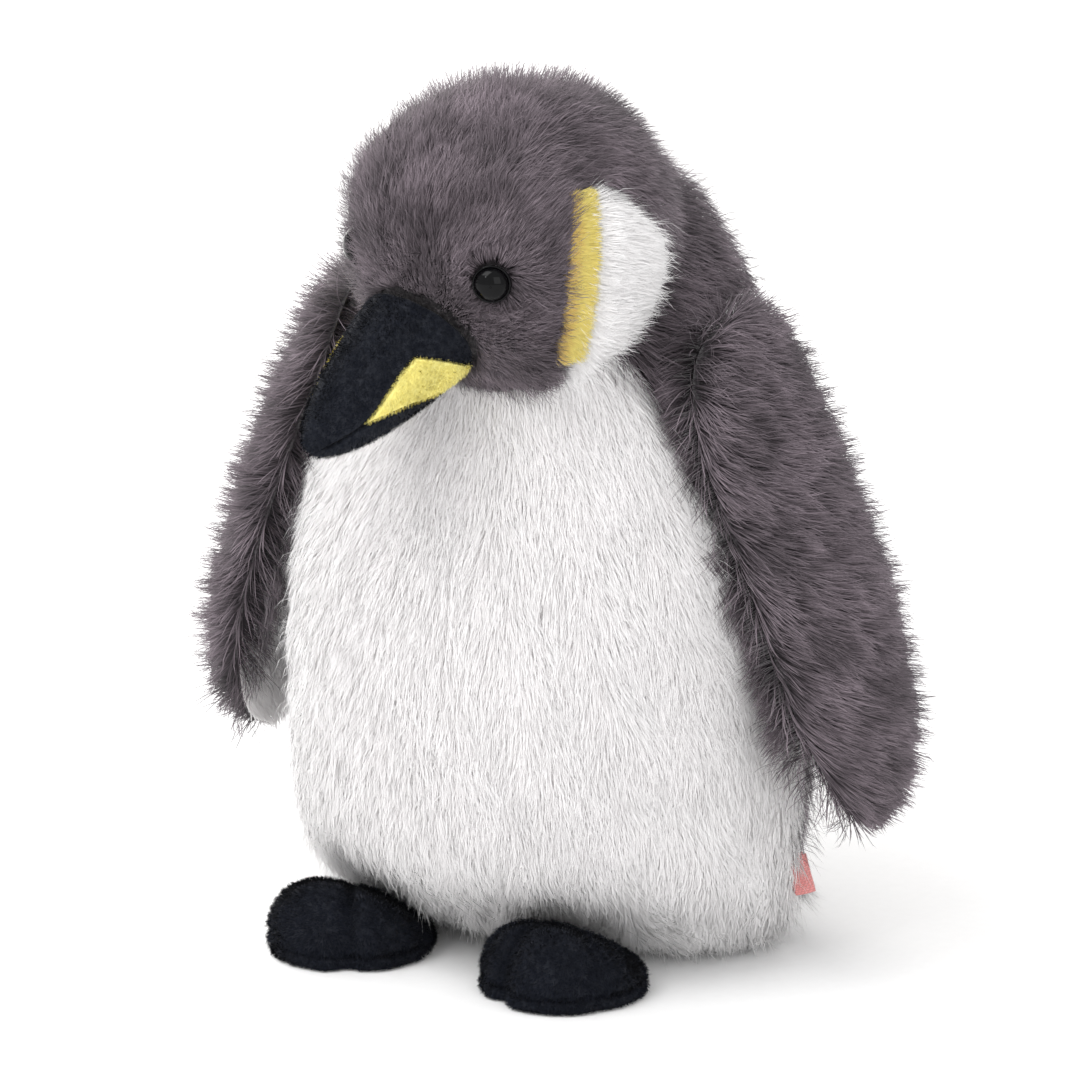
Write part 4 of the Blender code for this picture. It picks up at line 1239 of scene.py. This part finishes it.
def build_wings():
    length = sizes().wing_pile / MM
    for side, word in SIDES:
        rng = np.random.default_rng(MAIN_SEED + 40 + side)
        body = "wing_" + word

        def over(v):
            return WING_OVER * (1 - ease(0.62, 0.86, v))

        def cover(u, v, side=side):
            return wing_point(side, v, 360 * u, WING_ROOT_DEPTH + 0.5)

        def on_lining(u, v):
            return (u > 0.5) & (u < 1 - over(v) / 360)

        stuffed_cover("wing_cover_" + word, cover, 40, 48, on_lining, (0.8, 0.8), body,
                      "wing_filling_" + word)
        for part, how in WING_SIDES.items():
            def place(u, v, side=side, low=how["from"]):
                reach = 1 - u if low == 0 else u
                return wing_point(side, v, low + 180 * u - over(v) * reach, WING_ROOT_DEPTH)

            roots, normals, along_v, us, vs = surface_roots(place, how["count"], rng)
            normals = facing(normals, np.array((side * how["out"], 0.0, 0.25)))
            front = 1 - us if how["from"] == 0 else us
            down = unit(along_v) * np.sign(-along_v[:, 2:3].mean())
            rearward = (1.0 - how["forward"] * ease(0.84, 1.0, front))[:, None] * (0.0, 1.0, 0.0)
            lengths = length * (1 - 0.45 * ease(0.75, 0.97, vs)) * (1 + how["edge"] * ease(0.75, 1.0, front))
            pile = pile_piece(f"wing_{part}_pile_{word}", roots, normals,
                              down * how["down"] + rearward * how["rear"], lengths, rng, tuft_size=7.5,
                              **how["looks"])
            dress(pile, how["colour"] + "_pile", body, [f"wing_{part}_{word}"])


class PLUSH_OT_wings(bpy.types.Operator):
    """Builds both wings: stuffed cover, grey outer pile and white lining pile"""

    bl_idname = "plush.wings"
    bl_label = "Wings"

    def execute(self, context):
        build_wings()
        return {"FINISHED"}


# ---------------------------------------------------------------- feet

def build_feet():
    for side, word in SIDES:
        rng = np.random.default_rng(MAIN_SEED + 60 + side)
        middle = FOOT_CENTRES[word]
        body = "foot_" + word

        def upper(u, v, side=side, middle=middle):
            tuck = 1.3 * (1 - ease(0.0, 0.10, v)) ** 1.5
            return foot_point(side, middle, u, v, 0.4 + tuck)

        def sole(u, v, side=side, middle=middle):
            """The outline as a slab 4 thick whose wall is a rounded belly: inset by a power of the height."""
            lift = np.clip((v - 0.25) / 0.5, 0, 1)
            inset = 0.4 + 1.1 * np.abs(2 * lift - 1) ** 2.5
            drawn = np.where(v < 0.25, v / 0.25, np.where(v > 0.75, (1 - v) / 0.25, 1.0)) ** 0.8
            x, y = foot_outline(side, 2 * pi * u - pi, inset)
            return vec(middle[0] + x * drawn, middle[1] + y * drawn, 0.1 + 3.9 * lift)

        top = closed_form("foot_top_cover_" + word, upper, 168, 44)
        dress(top, "black_minky", body, ["foot_top_" + word, "foot_filling_" + word])
        bottom = closed_form("foot_sole_cover_" + word, sole, 168, 33)
        dress(bottom, "black_minky", body, ["foot_sole_" + word])

        for part, place, low, high, count in (("top", upper, 0.0, 0.97, 15000),
                                              ("sole", sole, 0.27, 0.73, 3500)):
            def area(u, v, place=place, low=low, high=high):
                return place(u, low + v * (high - low))

            roots, normals, _, _ = roots_round(area, count, rng, np.array((middle[0], middle[1], 3.0)))
            nap = pile_piece(f"foot_{part}_nap_{word}", roots, normals, (0.0, -0.6, -0.8), sizes().fuzz / MM,
                             rng, width=0.26, lift=0.66, tuft=0.5, tuft_size=2.6, steps=2, stray=0.45,
                             swirl=0.9, light=0.6)
            dress(nap, "black_nap", body)


class PLUSH_OT_feet(bpy.types.Operator):
    """Builds both feet: toed tops, soles and their nap"""

    bl_idname = "plush.feet"
    bl_label = "Feet"

    def execute(self, context):
        build_feet()
        return {"FINISHED"}


# ---------------------------------------------------------------- label

def build_label():
    """A ribbon folded in two: a hairpin carried across its width, slightly curled, with its ends parted."""
    place = joint_place("label_flap")
    low, high = (np.array(corner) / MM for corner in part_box("sewn_label"))
    away = unit(np.array(((low[0] + high[0]) / 2 - place[0], (low[1] + high[1]) / 2 - place[1], 0.0)))
    outward_way = unit(away + (0.0, -0.75, 0.0))
    sideways = np.array((-outward_way[1], outward_way[0], 0.0))
    length = np.linalg.norm(np.array(((low[0] + high[0]) / 2, (low[1] + high[1]) / 2, low[2])) - place)
    columns, rows = 18, 60
    u, v = grid_uv(columns, rows)
    t = np.abs(2 * v - 1)
    leaf = np.where(v < 0.5, 1.0, -1.0)
    down = length * (1 - t)
    gap = 0.45 + 0.5 * t
    lean = radians(24)
    run = down * cos(lean)
    curl = 0.5 * np.sin(pi * u) + 1.2 * (down / length) ** 2
    out = down * sin(lean) + leaf * gap * np.minimum(1, 6 * t) + curl
    centre = place + outward_way * 0.5
    middle = (centre + vec(0 * u, 0 * u, -run) + outward_way * out[..., None]
              + sideways * ((u - 0.5) * 7.6)[..., None])
    normal = unit(np.cross(np.gradient(middle, axis=0), np.gradient(middle, axis=1)))
    label = panel_form("label_ribbon", middle + normal * 0.14, middle - normal * 0.14)
    dress(label, "ribbon", "label")
    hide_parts("sewn_label")


class PLUSH_OT_label(bpy.types.Operator):
    """Builds the folded ribbon label"""

    bl_idname = "plush.label"
    bl_label = "Label"

    def execute(self, context):
        build_label()
        return {"FINISHED"}


# ---------------------------------------------------------------- hidden parts

def build_inside():
    """The hard pieces inside keep their own shapes and get their materials."""
    for name, key, slot in (("eye_washer_left", "washer", "washer_plastic"),
                            ("eye_washer_right", "washer", "washer_plastic"),
                            ("pellet_bag", "cotton", "bag_cotton"), ("pellets", "pellet", "pellet_plastic")):
        piece = frame["nodes"][name]
        piece.data.materials.clear()
        piece.data.materials.append(material(key))


class PLUSH_OT_inside(bpy.types.Operator):
    """Gives the washers, the pellet bag and its pellets their materials"""

    bl_idname = "plush.inside"
    bl_label = "Inside"

    def execute(self, context):
        build_inside()
        return {"FINISHED"}


# ---------------------------------------------------------------- stage

def area_light(name, place, aim, size, power, tone=(1.0, 1.0, 1.0)):
    data = bpy.data.lights.new(name, "AREA")
    data.shape = "RECTANGLE"
    data.size, data.size_y = size
    data.energy = power
    data.color = tone
    lamp = bpy.data.objects.new(name, data)
    lamp.location = place
    lamp.rotation_euler = (Vector(aim) - Vector(place)).to_track_quat("-Z", "Y").to_euler()
    bpy.context.scene.collection.objects.link(lamp)
    return lamp


def build_stage():
    """A pale sweep of paper under soft boxes, and the camera."""
    u, v = grid_uv(2, 2)
    floor = new_piece("floor", vec((u - 0.5) * 12000, (v - 0.5) * 12000, 0 * u - 0.2).reshape(-1, 3),
                      [(0, 2, 3, 1)])
    paper, shader = new_material("matt_paper")
    grain = node(paper, "ShaderNodeTexNoise", values={"Scale": 300.0, "Detail": 2.0},
                 links={"Vector": (node(paper, "ShaderNodeTexCoord"), "Object")})
    tone = ramp(paper, [(0.0, linear("fafafa")), (1.0, linear("ffffff"))], grain, 0)
    link(paper, tone, 0, shader, "Base Color")
    set_inputs(shader, {"Roughness": 0.9, "Specular IOR Level": 0.1})
    floor.data.materials.append(paper)

    world = bpy.data.worlds.new("studio")
    world.use_nodes = True
    world.node_tree.nodes["Background"].inputs[0].default_value = (1.0, 1.0, 1.0, 1.0)
    world.node_tree.nodes["Background"].inputs[1].default_value = 0.95
    bpy.context.scene.world = world
    aim = (0.0, -0.02, 0.14)
    area_light("key_box", (-0.5, -1.1, 1.9), aim, (1.3, 1.3), 21.0)
    area_light("fill_box", (1.5, -1.3, 0.8), aim, (1.2, 1.2), 6.0)
    area_light("catch_box", (-0.35, -1.9, 1.35), aim, (0.14, 0.20), 1.6)
    area_light("rim_box", (-1.3, 0.9, 0.8), aim, (0.8, 1.2), 16.0, (1.0, 0.96, 0.93))

    turn, lift, distance = radians(28), radians(18), 6.0
    target = Vector((-0.0025, -0.021, 0.127))
    way = Vector((sin(turn) * cos(lift), -cos(turn) * cos(lift), sin(lift)))
    data = bpy.data.cameras.new("camera")
    data.sensor_width = 36.0
    data.lens = 638.0
    data.clip_end = 30.0
    camera = bpy.data.objects.new("camera", data)
    camera.location = target + way * distance
    camera.rotation_euler = (-way).to_track_quat("-Z", "Y").to_euler()
    bpy.context.scene.collection.objects.link(camera)
    bpy.context.scene.camera = camera
    bpy.context.scene.view_settings.view_transform = "Standard"


class PLUSH_OT_stage(bpy.types.Operator):
    """Builds the pale floor, the soft lights and the camera"""

    bl_idname = "plush.stage"
    bl_label = "Stage"

    def execute(self, context):
        build_stage()
        return {"FINISHED"}


# ---------------------------------------------------------------- panel and main

STEPS = (PLUSH_OT_body, PLUSH_OT_head, PLUSH_OT_eyes, PLUSH_OT_beak, PLUSH_OT_wings, PLUSH_OT_feet,
         PLUSH_OT_label, PLUSH_OT_inside, PLUSH_OT_stage)


class PLUSH_PT_panel(bpy.types.Panel):
    """Lists the penguin's settings and building steps"""

    bl_idname = "PLUSH_PT_panel"
    bl_label = "Plush penguin"
    bl_space_type = "VIEW_3D"
    bl_region_type = "UI"
    bl_category = "Plush"

    def draw(self, context):
        for group in (context.scene.plush_sizes, context.scene.plush_colours):
            for name in group.__annotations__:
                self.layout.prop(group, name)
        for step in STEPS:
            self.layout.operator(step.bl_idname)


CLASSES = (PlushSizes, PlushColours, *STEPS, PLUSH_PT_panel)


def register():
    for each in CLASSES:
        bpy.utils.register_class(each)
    bpy.types.Scene.plush_sizes = bpy.props.PointerProperty(type=PlushSizes)
    bpy.types.Scene.plush_colours = bpy.props.PointerProperty(type=PlushColours)


def unregister():
    del bpy.types.Scene.plush_colours
    del bpy.types.Scene.plush_sizes
    for each in reversed(CLASSES):
        bpy.utils.unregister_class(each)


def main():
    """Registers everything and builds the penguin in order."""
    register()
    for step in STEPS:
        group, name = step.bl_idname.split(".")
        getattr(getattr(bpy.ops, group), name)()


if __name__ == "__main__":
    main()
